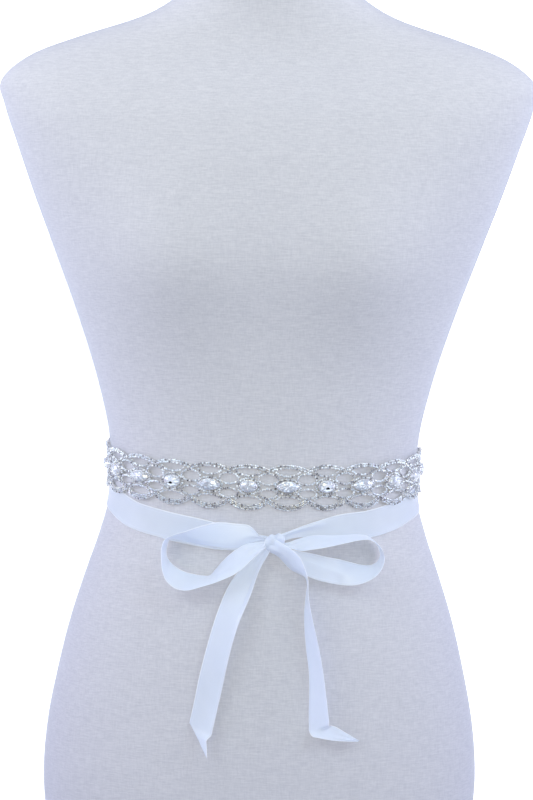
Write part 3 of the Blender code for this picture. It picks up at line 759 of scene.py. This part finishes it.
# Painted reflections: facets by their painted brightness, from black to dark to pale to a painted
# glint that glows, with a cool or warm tint here and there.
def crystalNodes(tree):
    paintedGleam = tree.attribute("paintedGleam")
    warmth = tree.noise(tree.place(), *crystalLook["tint"]).ramp(*crystalLook["toWarm"])
    toDark, toPale, toPaintedGlint = (
        paintedGleam.ramp(*crystalLook[name]) for name in ("toDark", "toPale", "toPaintedGlint")
    )
    pale = tree.mixColour(warmth, crystalLook["cool"], crystalLook["warm"])
    dark = tree.mixColour(toDark, crystalLook["black"], crystalLook["dark"])
    colour = tree.mixColour(toPale, dark, pale)
    # a painted glint: the brightest facets glow
    paintedGlint = tree.mixColour(toPaintedGlint, grey(0.0), crystalLook["paintedGlint"])
    most, byGleam = crystalLook["rough"]
    rough = (most - paintedGleam * byGleam).clip()
    return {"Base Color": colour, "Roughness": rough, "Emission Color": paintedGlint}


silverLook = {
    "dark": (0.60, 0.61, 0.65, 1),
    "light": (0.90, 0.91, 0.95, 1),
    "wear": (900.0, 2.0, 0.6),  # scale, detail and roughness of the noise
    "toLight": (0.35, 3.0),
    "rough": (0.15, 0.3),
    "bump": (0.3, 0.0002),
    "fixed": {"Metallic": 0.6},
}


# Plated metal, uneven by one fine noise: lighter, rougher and higher where the noise is high.
def silverNodes(tree):
    wear = tree.noise(tree.place(), *silverLook["wear"])
    share = wear.ramp(*silverLook["toLight"])
    colour = tree.mixColour(share, silverLook["dark"], silverLook["light"])
    normal = tree.bump(wear, *silverLook["bump"])
    least, byWear = silverLook["rough"]
    return {"Base Color": colour, "Roughness": wear * byWear + least, "Normal": normal}


# Ribbon
ribbonShape = {
    "half": 0.0105,
    "wall": 0.00030,
    "selvedge": 0.00042,
    "selvedgeWide": 0.06,
    "across": 25,
}
half = ribbonShape["half"]


# A thin shell on a grid of mid points: both faces stand off along the normal, a little more at
# the woven edges. The ribbon's UV runs in ribbon widths along it and from 0 to 1 across.
# creased, a share for each row, tells the finish how crumpled the ribbon is there.
def ribbonShell(name, sheet, satin, along, creased, closeAlong=False):
    rows, columns, _ = sheet.shape
    if closeAlong:
        ahead = np.roll(sheet, -1, axis=0) - np.roll(sheet, 1, axis=0)
    else:
        ahead = np.gradient(sheet, axis=0)
    normal = unit(np.cross(ahead, np.gradient(sheet, axis=1)))
    share = np.abs(np.linspace(-1, 1, columns))
    edge = softStep(1 - 2 * ribbonShape["selvedgeWide"], 1 - ribbonShape["selvedgeWide"], share)
    thick = ribbonShape["wall"] + (ribbonShape["selvedge"] - ribbonShape["wall"]) * edge
    thick[[0, -1]] *= 0.5  # rounded off at the two edges
    off = normal * thick[None, :, None] / 2
    both = np.concatenate([sheet + off, (sheet - off)[:, ::-1]], axis=1)
    count = 2 * columns
    faces = gridFaces(rows, count, closeRows=closeAlong, closeColumns=True)[:, ::-1].tolist()
    if not closeAlong:
        index = np.arange(columns - 1)
        first = np.stack([index, index + 1, count - 2 - index, count - 1 - index], axis=1)
        last = first[:, ::-1] + (rows - 1) * count
        faces += first.tolist() + last.tolist()
    piece = finishPiece(name, both, faces, [satin])
    v = np.linspace(0, 1, columns)
    v = np.concatenate([v, v[::-1]])
    u = np.broadcast_to(along[:, None] / (2 * half), (rows, count)).ravel()
    v = np.broadcast_to(v, (rows, count)).ravel()
    layer = piece.data.uv_layers.new(name="ribbonUv")
    corner = np.empty(len(piece.data.loops), np.int32)
    piece.data.loops.foreach_get("vertex_index", corner)
    layer.data.foreach_set("uv", np.stack([u[corner], v[corner]], axis=1).ravel())
    layer = piece.data.attributes.new("crease", "FLOAT", "POINT")
    layer.data.foreach_set("value", np.repeat(creased, count).astype(np.float32))
    return piece


# Ribbon on the form
wrapShape = {
    "steps": 260,
    "sunk": 0.0002,  # how far the rows' lift is taken back
    "crossingLift": 0.0014,
    "crossingFlat": 46.5,
    "crossingEdge": 55.0,
    "tightFrom": 0.02,
    "tightTo": 0.75,
    "pleats": 1.5,
    "pleatDepth": 0.0005,
    "ridgeAt": 0.62,
    "ridgeWide": 0.42,
    "ridgeHigh": 0.0022,
    "ridgeFull": 0.5,
    "endHeight": 0.3097,
}
onSkin = 0.0010
# turn in degrees on the ribbon's own side, height, lift off the skin, half width
wrapLeftRows = (
    (-2.0, 0.2545, 0.00160, 0.0036),
    (0.6, 0.2547, 0.00125, 0.0046),
    (5.3, 0.2546, onSkin, 0.0070),
    (12.0, 0.2563, onSkin, 0.0096),
    (21.0, 0.2595, onSkin, half),
    (37.0, 0.2646, onSkin, half),
    (54.0, 0.2702, onSkin, half),
    (67.0, 0.2768, onSkin, half),
    (80.0, 0.2816, onSkin, half),
)
wrapRightRows = (
    (5.0, 0.2565, 0.00340, 0.0030),
    (7.8, 0.2590, 0.00300, 0.0029),
    (13.5, 0.2621, 0.00150, 0.0045),
    (22.7, 0.2638, onSkin, 0.0087),
    (28.0, 0.2648, onSkin, 0.0101),
    (39.5, 0.2665, onSkin, half),
    (50.0, 0.2699, onSkin, half),
    (65.0, 0.2762, onSkin, half),
    (80.0, 0.2806, onSkin, half),
)
wrapBackRows = (
    (100.0, 0.2842, onSkin, half),
    (122.0, 0.2856, onSkin, half),
    (134.0, 0.2866, onSkin, half),
    (154.0, 0.2905, onSkin, half),
    (180.0, 0.2978, onSkin, half),
    (206.0, 0.3051, onSkin, half),
    (226.0, 0.3090, onSkin, half),
)
# node, side, rows, turn where it ends, and whether it crosses over the other ribbon
wraps = {
    "ribbonLeft": ("ribbon_wrap_left", -1, wrapLeftRows, 246.9, False),
    "ribbonRight": ("ribbon_wrap_right", 1, wrapRightRows, 251.0, True),
}


# Ribbon on the form: rows give its middle, and it lies level across on the skin. Where it is
# narrower than its cut, the one below folds into soft pleats and the one over it into a ridge.
def buildWrap(name, satin):
    node, side, frontRows, endTurn, over = wraps[name]
    table = np.array([*frontRows, *wrapBackRows, (endTurn, wrapShape["endHeight"], onSkin, half)])
    turn = np.linspace(table[0, 0], table[-1, 0], wrapShape["steps"] + 1)
    height, lift, halfWide = (smoothCurve(table[:, 0], c, turn) for c in table[:, 1:].T)
    narrower = 1 - halfWide / half
    tight = softStep(wrapShape["tightFrom"], wrapShape["tightTo"], narrower)
    share = np.linspace(-1, 1, ribbonShape["across"])
    if over:
        fromBack = np.abs(turn - 180)
        crossing = 1 - softStep(wrapShape["crossingFlat"], wrapShape["crossingEdge"], fromBack)
        lift = lift + wrapShape["crossingLift"] * crossing
        ridge = np.exp(-(((share - wrapShape["ridgeAt"]) / wrapShape["ridgeWide"]) ** 2))
        deep = wrapShape["ridgeHigh"] * softStep(0.0, wrapShape["ridgeFull"], narrower)
        pleat = ridge[None, :] * deep[:, None]
    else:
        wave = np.abs(np.sin(wrapShape["pleats"] * math.pi * share))[None, :]
        pleat = wave * wrapShape["pleatDepth"] * tight[:, None]
    turn = side * np.radians(turn)
    middle, roundWay, out = formFrame(turn, height)
    edgeWay = np.cross(out, unit(np.gradient(middle, axis=0)))
    edgeWay *= np.sign(edgeWay[:, 2:])
    nudge = 1e-3
    perTurn = np.linalg.norm(formPoint(turn + nudge, height) - middle, axis=1) / nudge
    off = halfWide[:, None] * share
    turnOff = off * ((edgeWay * roundWay).sum(axis=1) / perTurn)[:, None]
    heightOff = off * edgeWay[:, 2:]
    skin, _, normal = formFrame(turn[:, None] + turnOff, height[:, None] + heightOff)
    sheet = skin + normal * (lift[:, None] - wrapShape["sunk"] + pleat)[..., None]
    if side < 0:
        sheet = sheet[:, ::-1]
    along = walkLength(middle)
    piece = ribbonShell(name, sheet, satin, along, tight)
    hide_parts(node)


# Bow
bowShape = {
    "steps": 110,
    "tightFrom": 0.05,
    "tightTo": 0.7,
    "gathers": 2.3,
    "gatherPhase": 0.7,
    "gatherDepth": 0.00045,
    "crown": 0.0004,
    "reach": 0.0035,
    "reachNarrow": 0.8,
    "foldRound": 0.06,
    "foldShare": 0.45,
    "turnLength": 0.025,
    "notchAt": 0.013,
    "notchEnd": 0.0175,
    "notchCurl": 0.020,
}
# each fold: its line as (share of the length, place across from -1 to 1), its steepness, and the
# side that it pushes back: -1, 1, or 0 for both
loopLeftFolds = (
    (((-0.02, 1.2), (0.08, 1.2), (0.30, 1.2), (0.42, 1.2)), 0.0030, 0),
    (((0.02, -0.4), (0.09, 0.2), (0.17, 0.55), (0.25, 0.45), (0.33, 0.0), (0.40, -0.3)),
     0.0018, 0),
    (((0.66, 0.7), (0.72, 0.4), (0.80, 0.0), (0.90, -0.3)), 0.0016, 0),
)
loopRightFolds = (
    (((0.02, 0.3), (0.10, 0.1), (0.20, -0.2), (0.32, -0.3)), 0.0012, 0),
    (((0.62, -0.4), (0.72, -0.1), (0.84, 0.2), (0.97, 0.3)), 0.0015, 0),
)
tailRightFolds = (
    (((-0.05, 0.7), (0.02, 0.6), (0.10, 0.3), (0.18, 0.35), (0.28, 0.6)), 0.0060, 1),
)
tailLeftFolds = (
    (((-0.02, -0.5), (0.03, -0.6), (0.30, -0.75), (0.50, -0.9)), -0.0110, -1),
)
# across and height seen from the front, lift off the skin, half width, the way to the far edge
loopLeftRows = (
    (-0.0006, 0.2574, 0.0055, 0.0030, 0.0003, -0.0018),
    (-0.0106, 0.2587, 0.0062, 0.0080, -0.0010, -0.0076),
    (-0.0223, 0.2581, 0.0076, 0.0102, -0.0005, -0.0099),
    (-0.0345, 0.2591, 0.0090, half, 0.0000, -0.0098),
    (-0.0473, 0.2583, 0.0108, half, 0.0000, -0.0079),
    (-0.0601, 0.2570, 0.0122, half, 0.0000, -0.0047),
    (-0.0683, 0.2562, 0.0129, half, 0.0008, -0.0028),
    (-0.0735, 0.2545, 0.0132, half, 0.0018, -0.0010),
    (-0.0756, 0.2495, 0.0133, half, 0.0019, -0.0002),
    (-0.0759, 0.2408, 0.0133, half, 0.0017, 0.0004),
    (-0.0743, 0.2346, 0.0130, half, 0.0026, 0.0021),
    (-0.0699, 0.2283, 0.0126, half, 0.0036, 0.0043),
    (-0.0640, 0.2243, 0.0122, half, 0.0031, 0.0056),
    (-0.0557, 0.2228, 0.0121, half, 0.0021, 0.0054),
    (-0.0472, 0.2237, 0.0124, half, 0.0009, 0.0035),
    (-0.0396, 0.2254, 0.0127, half, -0.0006, 0.0022),
    (-0.0338, 0.2290, 0.0128, half, -0.0026, 0.0028),
    (-0.0280, 0.2332, 0.0128, 0.0101, -0.0046, 0.0036),
    (-0.0212, 0.2388, 0.0126, 0.0094, -0.0053, 0.0045),
    (-0.0141, 0.2450, 0.0123, 0.0080, -0.0053, 0.0042),
    (-0.0083, 0.2489, 0.0110, 0.0064, -0.0041, 0.0040),
    (-0.0006, 0.2517, 0.0092, 0.0042, -0.0005, 0.0030),
)
loopRightRows = (
    (0.0196, 0.2521, 0.0070, 0.0032, -0.0002, 0.0019),
    (0.0277, 0.2524, 0.0081, 0.0060, -0.0010, 0.0041),
    (0.0380, 0.2546, 0.0106, 0.0088, 0.0000, 0.0047),
    (0.0516, 0.2557, 0.0124, half, 0.0000, 0.0031),
    (0.0646, 0.2573, 0.0130, half, 0.0000, 0.0020),
    (0.0744, 0.2581, 0.0133, half, 0.0000, 0.0011),
    (0.0814, 0.2574, 0.0134, half, -0.0002, 0.0003),
    (0.0871, 0.2540, 0.0134, half, -0.0006, -0.0004),
    (0.0915, 0.2482, 0.0134, half, -0.0012, -0.0001),
    (0.0929, 0.2425, 0.0134, half, -0.0014, 0.0002),
    (0.0912, 0.2370, 0.0132, half, -0.0018, 0.0008),
    (0.0870, 0.2330, 0.0129, half, -0.0024, 0.0024),
    (0.0794, 0.2307, 0.0120, half, -0.0026, 0.0052),
    (0.0709, 0.2303, 0.0106, half, -0.0026, 0.0080),
    (0.0611, 0.2314, 0.0092, half, -0.0024, 0.0098),
    (0.0500, 0.2334, 0.0082, half, -0.0018, 0.0099),
    (0.0386, 0.2363, 0.0073, 0.0098, -0.0003, 0.0094),
    (0.0279, 0.2408, 0.0063, 0.0072, 0.0000, 0.0068),
    (0.0196, 0.2466, 0.0055, 0.0034, 0.0003, 0.0028),
)
tailLeftRows = (
    (0.0022, 0.2482, 0.0045, 0.0036, -0.0027, 0.0014),
    (-0.0062, 0.2375, 0.0040, 0.0062, -0.0046, 0.0030),
    (-0.0163, 0.2188, 0.0062, 0.0095, -0.0080, 0.0040),
    (-0.0257, 0.1962, 0.0100, half, -0.0084, 0.0033),
    (-0.0323, 0.1730, 0.0096, half, -0.0088, 0.0026),
    (-0.0387, 0.1440, 0.0068, half, -0.0092, 0.0030),
    (-0.0417, 0.1289, 0.0052, half, -0.0089, 0.0036),
    (-0.0438, 0.1188, 0.0053, half, -0.0088, 0.0036),
    (-0.0456, 0.1101, 0.0056, half, -0.0088, 0.0034),
    (-0.0468, 0.1005, 0.0069, half, -0.0082, 0.0030),
    (-0.0478, 0.0914, 0.0088, half, -0.0075, 0.0030),
)
tailRightRows = (
    (0.0045, 0.2545, 0.0085, 0.0056, -0.0040, -0.0032),
    (0.0102, 0.2508, 0.0124, 0.0070, -0.0060, -0.0032),
    (0.0174, 0.2467, 0.0136, 0.0078, -0.0063, -0.0026),
    (0.0228, 0.2415, 0.0142, 0.0088, -0.0064, -0.0028),
    (0.0271, 0.2355, 0.0140, 0.0088, -0.0050, -0.0026),
    (0.0316, 0.2308, 0.0136, 0.0094, -0.0026, -0.0016),
    (0.0344, 0.2268, 0.0129, 0.0100, -0.0010, -0.0003),
    (0.0350, 0.2215, 0.0123, half, -0.0004, 0.0000),
    (0.0350, 0.2140, 0.0117, half, -0.0009, 0.0000),
    (0.0358, 0.1997, 0.0114, half, -0.0028, 0.0000),
    (0.0397, 0.1734, 0.0105, half, -0.0051, 0.0000),
    (0.0427, 0.1542, 0.0102, half, -0.0056, 0.0000),
    (0.0443, 0.1348, 0.0097, half, -0.0067, 0.0001),
    (0.0449, 0.1239, 0.0092, half, -0.0074, -0.0007),
    (0.0454, 0.1160, 0.0090, half, -0.0077, -0.0028),
    (0.0458, 0.1112, 0.0089, half, -0.0075, -0.0034),
    (0.0528, 0.1084, 0.0086, 0.0092, -0.0065, -0.0034),
    (0.0599, 0.1057, 0.0082, 0.0070, -0.0052, -0.0028),
    (0.0682, 0.1034, 0.0078, 0.0042, -0.0029, -0.0017),
    (0.0764, 0.1013, 0.0074, 0.0008, -0.0004, -0.0003),
)
# how far a tip is cut aslant, the share of the length past which the ribbon turns over, here
# never, and how deep the notch by the tip is
plainTip = {"cut": 0.0, "turnOver": 2.0, "notch": 0.0}
# reach: whether the start and the end go on into the knot
bowRibbons = {
    "loopLeft": {"node": "bow_loop_left", "rows": loopLeftRows, "folds": loopLeftFolds,
                 "reach": (True, True), "held": "folded", **plainTip},
    "loopRight": {"node": "bow_loop_right", "rows": loopRightRows, "folds": loopRightFolds,
                  "reach": (True, True), "held": "folded", **plainTip},
    "tailLeft": {"node": "bow_tail_left", "rows": tailLeftRows, "folds": tailLeftFolds,
                 "reach": (True, False), "held": "hung", **plainTip, "cut": 0.019, "notch": 0.18},
    "tailRight": {"node": "bow_tail_right", "rows": tailRightRows, "folds": tailRightFolds,
                  "reach": (False, False), "held": "hung", **plainTip, "turnOver": 0.822},
}


# Carries a length of ribbon on into the knot, so that no gap shows beside it: an end's row is
# repeated a little further along its own way, and narrower.
def reachIn(rows, wanted):
    table = np.array(rows)
    ends = []
    for last, before in ((0, 1), (-1, -2)):
        row = table[last].copy()
        row[:2] += unit(row[:2] - table[before, :2]) * bowShape["reach"]
        row[3:] *= bowShape["reachNarrow"]
        ends.append([row])
    parts = ([ends[0]] if wanted[0] else []) + [table] + ([ends[1]] if wanted[1] else [])
    return np.concatenate(parts)


# How far folds push the ribbon back: nothing on the fold's own line, and more and more away from
# it, with a rounded ridge, on both sides of it or on one. A fold fades out at both ends.
def foldDepths(folds, along, share):
    depth = np.zeros(np.broadcast_shapes(along.shape, share.shape))
    for line, steep, side in folds:
        knots = np.array(line)
        past = share - smoothCurve(knots[:, 0], knots[:, 1], along)
        fade = softStep(knots[0, 0], knots[1, 0], along)
        fade = fade * (1 - softStep(knots[-2, 0], knots[-1, 0], along))
        aside = np.sqrt(past**2 + bowShape["foldRound"] ** 2)
        if side:
            aside = (aside + side * past) / 2
        else:
            aside = aside - bowShape["foldShare"]
        depth = depth + steep * fade * aside
    return depth


# Middle line of the rows, and across it the way to the far edge; what is left of the half width
# goes into depth, backwards, and forwards past turnOver. Gathers deepen as the ribbon narrows,
# and it crowns a little. The notch draws the near edge in by the tip.
def bowSheet(ribbon):
    table = reachIn(ribbon["rows"], ribbon["reach"])
    across, height, lift = table[:, 0], table[:, 1], table[:, 2]
    middle = np.stack([across, skinDepth(across, height) - lift, height], axis=1)
    walked = walkLength(middle)
    share = np.linspace(-1, 1, ribbonShape["across"])
    length = walked[-1] - ribbon["cut"] * (share + 1) / 2
    at = np.linspace(0, 1, bowShape["steps"] + 1)[:, None] * length[None, :]
    x, y, z = (smoothCurve(walked, column, at) for column in middle.T)
    halfWide, edgeX, edgeZ = (smoothCurve(walked, column, at) for column in table[:, 3:].T)
    seen = np.maximum(np.hypot(edgeX, edgeZ), tiny)
    trim = np.minimum(1.0, halfWide / seen)
    edgeX, edgeZ = edgeX * trim, edgeZ * trim
    edgeY = np.sqrt(np.maximum(halfWide**2 - edgeX**2 - edgeZ**2, 0.0))
    turned = ribbon["turnOver"], ribbon["turnOver"] + bowShape["turnLength"]
    edgeY = edgeY * (1 - 2 * softStep(*turned, at / walked[-1]))
    edge = np.stack([edgeX, edgeY, edgeZ], axis=-1)
    notchPlaces = (0, bowShape["notchAt"], bowShape["notchEnd"])
    bent = np.interp(walked[-1] - at, notchPlaces, (0, ribbon["notch"], 0))
    near = (1 - share[None, :]) / 2
    drawn = share[None, :] + 2 * bent * near**2
    sheet = np.stack([x, y, z], axis=-1) + edge * drawn[..., None]
    sheet[..., 1] -= bent * near * bowShape["notchCurl"]
    normal = unit(np.cross(np.gradient(sheet, axis=0), np.gradient(sheet, axis=1)))
    tight = softStep(bowShape["tightFrom"], bowShape["tightTo"], 1 - halfWide / half)
    wave = np.cos(bowShape["gathers"] * math.pi * share + bowShape["gatherPhase"])
    gather = bowShape["gatherDepth"] * tight * wave[None, :]
    crown = bowShape["crown"] * (1 - tight) * (1 - share**2)[None, :]
    sheet = sheet + normal * (gather + crown)[..., None]
    sheet[..., 1] += foldDepths(ribbon["folds"], at / walked[-1], share[None, :])
    middle = ribbonShape["across"] // 2
    return sheet, at[:, middle], tight[:, middle]


# One length of the bow. Its flat length is the middle line's, with half of what the cut takes.
def buildBow(name, satin):
    ribbon = bowRibbons[name]
    sheet, along, creased = bowSheet(ribbon)
    piece = ribbonShell(name, sheet, satin, along, creased)
    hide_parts(ribbon["node"])
    length = round(float(along[-1]) + ribbon["cut"] / 2, 3)
    print(name, "length", length)


knotShape = {
    "rows": 96,
    "place": (0.0092, 0.2551, 0.0064),
    "half": (0.0079, 0.0053, 0.0066),
    "round": 0.94,
    "pinch": 0.34,  # how much less at the two edges
    "pinchPower": 2.6,
    "slack": 0.05,
    "slackPhases": (0.8, 0.6),  # across the band and round it
    "folds": 2.4,
    "foldPhase": 0.8,
    "foldDepth": 0.16,
    "skew": 0.35,
    "slant": 0.12,
    "tilt": 0.14,
    "length": 0.030,
}


# A band of ribbon round the gathered middle of the bow: an oval path in depth and height,
# narrower towards its two edges, with folds that run slantwise round it.
def buildKnot(satin):
    angle = np.linspace(0, 2 * math.pi, knotShape["rows"], endpoint=False)[:, None]
    share = np.linspace(-1, 1, ribbonShape["across"])[None, :]
    width, depth, high = knotShape["half"]
    skewed = share + knotShape["skew"] * np.sin(angle)
    wave = np.cos(knotShape["folds"] * math.pi * skewed + knotShape["foldPhase"])
    radius = knotShape["round"] - knotShape["pinch"] * np.abs(share) ** knotShape["pinchPower"]
    radius = radius - knotShape["foldDepth"] * (1 - wave) / 2
    acrossPhase, roundPhase = knotShape["slackPhases"]
    loose = radius * (1 + knotShape["slack"] * np.sin(2 * angle + roundPhase))
    across, height, lift = knotShape["place"]
    x = across + width * share * (1 - knotShape["slack"] * (1 - np.cos(angle + acrossPhase)))
    x = x + knotShape["slant"] * high * radius * np.sin(angle)
    y = float(skinDepth(across, height)) - lift - depth * loose * np.cos(angle)
    z = height + high * loose * np.sin(angle) + knotShape["tilt"] * width * share
    sheet = np.stack(np.broadcast_arrays(x, y, z), axis=-1)
    along = angle[:, 0] * (depth + high) / 2
    creased = np.ones(len(angle))
    piece = ribbonShell("bowKnot", sheet, satin, along, creased, closeAlong=True)
    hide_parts("bow_knot")


satinLook = {
    "dark": (0.500, 0.60, 0.78, 1),
    "light": (0.605, 0.71, 0.90, 1),
    # colour of the painted highlight on the woven edges
    "edge": (0.90, 0.94, 1.0, 1),
    "streak": ((2.0, 60.0, 1.0), 3.0, 0.6),  # scales, detail and roughness of the noise
    "cloud": ((1.3, 1.0, 1.0), 2.0, 0.5),
    "wrinkle": ((5.0, 9.0, 1.0), 4.0, 0.65),
    "ribs": 75,  # in a ribbon's width of length
    "edgeFrom": 0.455,  # places across the ribbon, in widths from its middle
    "grooveAt": 0.44,
    "lineAt": 0.385,
    "edgeSteep": 60.0,
    "lineSteep": 90.0,
    "edgePaintedHighlight": 0.35,
    "tone": (0.4, 0.5, 0.3, 0.5),  # how much streak, cloud and line lighten, the groove darkens
    "relief": (0.2, 0.3, 0.6, 0.5, 5.0),  # of rib, streak, edge, groove, wrinkle
    "rough": (0.33, 0.15),  # least, and how much more on streak and edge
    "bump": (0.35, 0.0001),
    "fixed": {"Sheen Weight": 0.15, "Sheen Roughness": 0.3, "Specular IOR Level": 0.5,
              "Subsurface Weight": 0.7, "Subsurface Radius": (1.0, 1.0, 1.0),
              "Subsurface Scale": 0.002,
              # painted light: a faint glow that lifts the satin's shade
              "Emission Color": (1.0, 0.96, 1.0, 1), "Emission Strength": 0.10},
}


# Satin: ribs across as a sine of the length, long faint streaks, soft clouds, wrinkles where the
# ribbon is creased, and a groove, a line and a tighter band along each woven edge. The band's
# colour is lightened by a painted highlight, and the groove's darkened by painted shade.
def satinNodes(tree):
    uv = tree.node("ShaderNodeUVMap", {"uv_map": "ribbonUv"}, {})
    u, v, _ = tree.parts(uv)
    streak, cloud, wrinkle = (
        tree.streaks(uv, *satinLook[name]) for name in ("streak", "cloud", "wrinkle")
    )
    ribs = (u * (2 * math.pi * satinLook["ribs"])).sin() * 0.5 + 0.5
    aside = abs(v - 0.5)
    edge = aside.ramp(satinLook["edgeFrom"], satinLook["edgeSteep"])
    line, groove = (
        (1.0 - abs(aside - satinLook[name]) * satinLook["lineSteep"]).clip()
        for name in ("lineAt", "grooveAt")
    )
    # the groove's darkening is painted shade
    byStreak, byCloud, byLine, byGroove = satinLook["tone"]
    tone = (streak - 0.5) * byStreak + (cloud - 0.5) * byCloud + 0.5
    tone = tone + line * byLine - groove * byGroove
    colour = tree.mixColour(tone.clip(), satinLook["dark"], satinLook["light"])
    # a painted highlight lightens the band along each woven edge
    colour = tree.mixColour(edge * satinLook["edgePaintedHighlight"], colour, satinLook["edge"])
    wrinkle = wrinkle * tree.attribute("crease")
    byRib, byStreak, byEdge, byGroove, byWrinkle = satinLook["relief"]
    relief = ribs * byRib + streak * byStreak + edge * byEdge
    relief = relief - groove * byGroove + wrinkle * byWrinkle
    normal = tree.bump(relief, *satinLook["bump"])
    least, more = satinLook["rough"]
    rough = (streak * more + edge * more + least).clip()
    return {"Base Color": colour, "Roughness": rough, "Normal": normal}


# Studio
studio = {
    "eye": (0.0015, -2.3942, 0.5244),
    "pitch": 4.0,
    "roll": 0.83,
    "lens": 135.0,
    "sensor": 36.0,
    "clipEnd": 50,
    "floorReach": 30,
    "floor": {"Base Color": (0.565, 0.575, 0.63, 1), "Roughness": 0.9, "Emission Strength": 1.0},
    "floorGlow": (3.0, 0.45, 1.5),  # rise with the depth, value at the middle, power
}
# light from the surround, red green blue: even, from above, from the sides and on the far card,
# and what the camera itself sees there
surround = {
    "even": (0.35, 0.35, 0.38),
    "above": (0.02, 0.02, 0.02),
    "aside": (0.10, 0.13, 0.38),
    "card": (1.25, 1.25, 1.25),
    "shown": (0.72, 0.72, 0.74),
    "cardEdge": (0.93, 25.0),  # where the card starts, as the ray's share of +Y, and how steeply
}
# lamps: place, aimed at, size, spread in degrees, casts shadows, red green blue power
lamps = {
    "keyLeft": ((-1.3, -1.6, 1.7), (0, 0, 0.4), 1.0, 180, True, (8.2, 9.2, 9.6)),
    "keyRight": ((1.3, -1.6, 1.7), (0, 0, 0.4), 1.0, 180, True, (6.8, 8.3, 9.3)),
    "farFront": ((0, -3.2, 2.6), (0, 0, 0.4), 1.5, 180, False, (50.5, 46.8, 30.6)),
    "sideLeft": ((-1.3, 0.1, 0.9), (0, 0, 0.58), 0.6, 50, True, (0.70, 0.70, 0.78)),
    "sideRight": ((1.3, 0.1, 0.9), (0, 0, 0.58), 0.6, 50, True, (0.70, 0.70, 0.78)),
    "hipLeft": ((-1.3, -0.2, 0.2), (0, 0, 0.05), 0.5, 30, True, (0.068, 0.062, 0.100)),
    "hipRight": ((1.3, -0.2, 0.2), (0, 0, 0.05), 0.5, 30, True, (0.076, 0.074, 0.108)),
}


# A camera that looks along +Y, pitched down and then rolled: its axes turn by the two angles.
def buildCamera():
    camera = bpy.data.objects.new("camera", bpy.data.cameras.new("camera"))
    bpy.context.scene.collection.objects.link(camera)
    camera.data.lens = studio["lens"]
    camera.data.sensor_width = studio["sensor"]
    camera.data.clip_end = studio["clipEnd"]
    pitch, roll = math.radians(studio["pitch"]), math.radians(studio["roll"])
    forward = np.array([0, math.cos(pitch), -math.sin(pitch)])
    right = np.array([1.0, 0, 0])
    up = np.cross(right, forward)
    x = right * math.cos(roll) + up * math.sin(roll)
    y = up * math.cos(roll) - right * math.sin(roll)
    turned = Matrix(np.array([x, y, -forward]).T.tolist()).to_4x4()
    camera.matrix_world = Matrix.Translation(studio["eye"]) @ turned
    bpy.context.scene.camera = camera


# The floor's glow: a power of the depth, from nothing in front of the form to full behind it.
def floorNodes(tree):
    _, y, _ = tree.parts(tree.place())
    rise, atMiddle, power = studio["floorGlow"]
    glow = (y * rise + atMiddle).clip() ** power
    return {"Emission Color": tree.mixColour(glow, grey(0.0), grey(1.0))}


# A wide square floor at the form's foot.
def buildFloor():
    mesh = bpy.data.meshes.new("floor")
    reach = studio["floorReach"]
    corners = [(-reach, -reach, 0), (reach, -reach, 0), (reach, reach, 0), (-reach, reach, 0)]
    mesh.from_pydata(corners, [], [(0, 1, 2, 3)])
    floor = bpy.data.objects.new("floor", mesh)
    bpy.context.scene.collection.objects.link(floor)
    mesh.materials.append(newMaterial("paleFloor", studio["floor"], floorNodes))


# The surround: an even light, more from above and from the sides, and a white card far behind
# the form. Each colour is the even value plus each mask times its own.
def buildSurround():
    world = bpy.data.worlds.new("studio")
    bpy.context.scene.world = world
    world.use_nodes = True
    tree = Tree(world.node_tree)
    x, y, z = tree.parts(tree.node("ShaderNodeTexCoord", {}, {}, 0))
    masks = {"above": z.clip(), "aside": abs(x), "card": y.ramp(*surround["cardEdge"])}
    inCamera = tree.node("ShaderNodeLightPath", {}, {}, 0)
    channels = {}
    for c in range(3):
        light = surround["even"][c]
        for name, mask in masks.items():
            light = light + mask * surround[name][c]
        shown = masks["card"] * surround["card"][c] + surround["shown"][c]
        channels[c] = light + (shown - light) * inCamera
    colour = tree.node("ShaderNodeCombineColor", {}, channels)
    tree.links.new(colour.socket, tree.nodes["Background"].inputs["Color"])


# Square lamps, each turned towards the point that it is aimed at.
def buildLamps():
    for name, (place, aim, size, spread, shadow, power) in lamps.items():
        lamp = bpy.data.lights.new(name, "AREA")
        lamp.size = size
        lamp.spread = math.radians(spread)
        lamp.use_shadow = shadow
        lamp.energy = max(power)
        lamp.color = [part / max(power) for part in power]
        holder = bpy.data.objects.new(name, lamp)
        bpy.context.scene.collection.objects.link(holder)
        towards = (Vector(aim) - Vector(place)).to_track_quat("-Z", "Y")
        holder.matrix_world = Matrix.Translation(place) @ towards.to_matrix().to_4x4()


print("camera and studio")
buildCamera()
buildFloor()
buildSurround()
buildLamps()
bpy.context.scene.view_settings.view_transform = "Standard"

print("materials")
jersey = newMaterial("jersey", jerseyLook["fixed"], jerseyNodes)
satin = newMaterial("satin", satinLook["fixed"], satinNodes)
crystal = newMaterial("crystal", crystalLook["fixed"], crystalNodes)
silver = newMaterial("silver", silverLook["fixed"], silverNodes)

print("dress form")
buildForm(jersey)

print("applique")
buildChains(silver)
buildSmallStones(crystal, silver)
for cut in ("oval", "navette"):
    buildCentreStones(cut, crystal, silver)

print("ribbon")
for name in wraps:
    buildWrap(name, satin)
for name in bowRibbons:
    buildBow(name, satin)
buildKnot(satin)
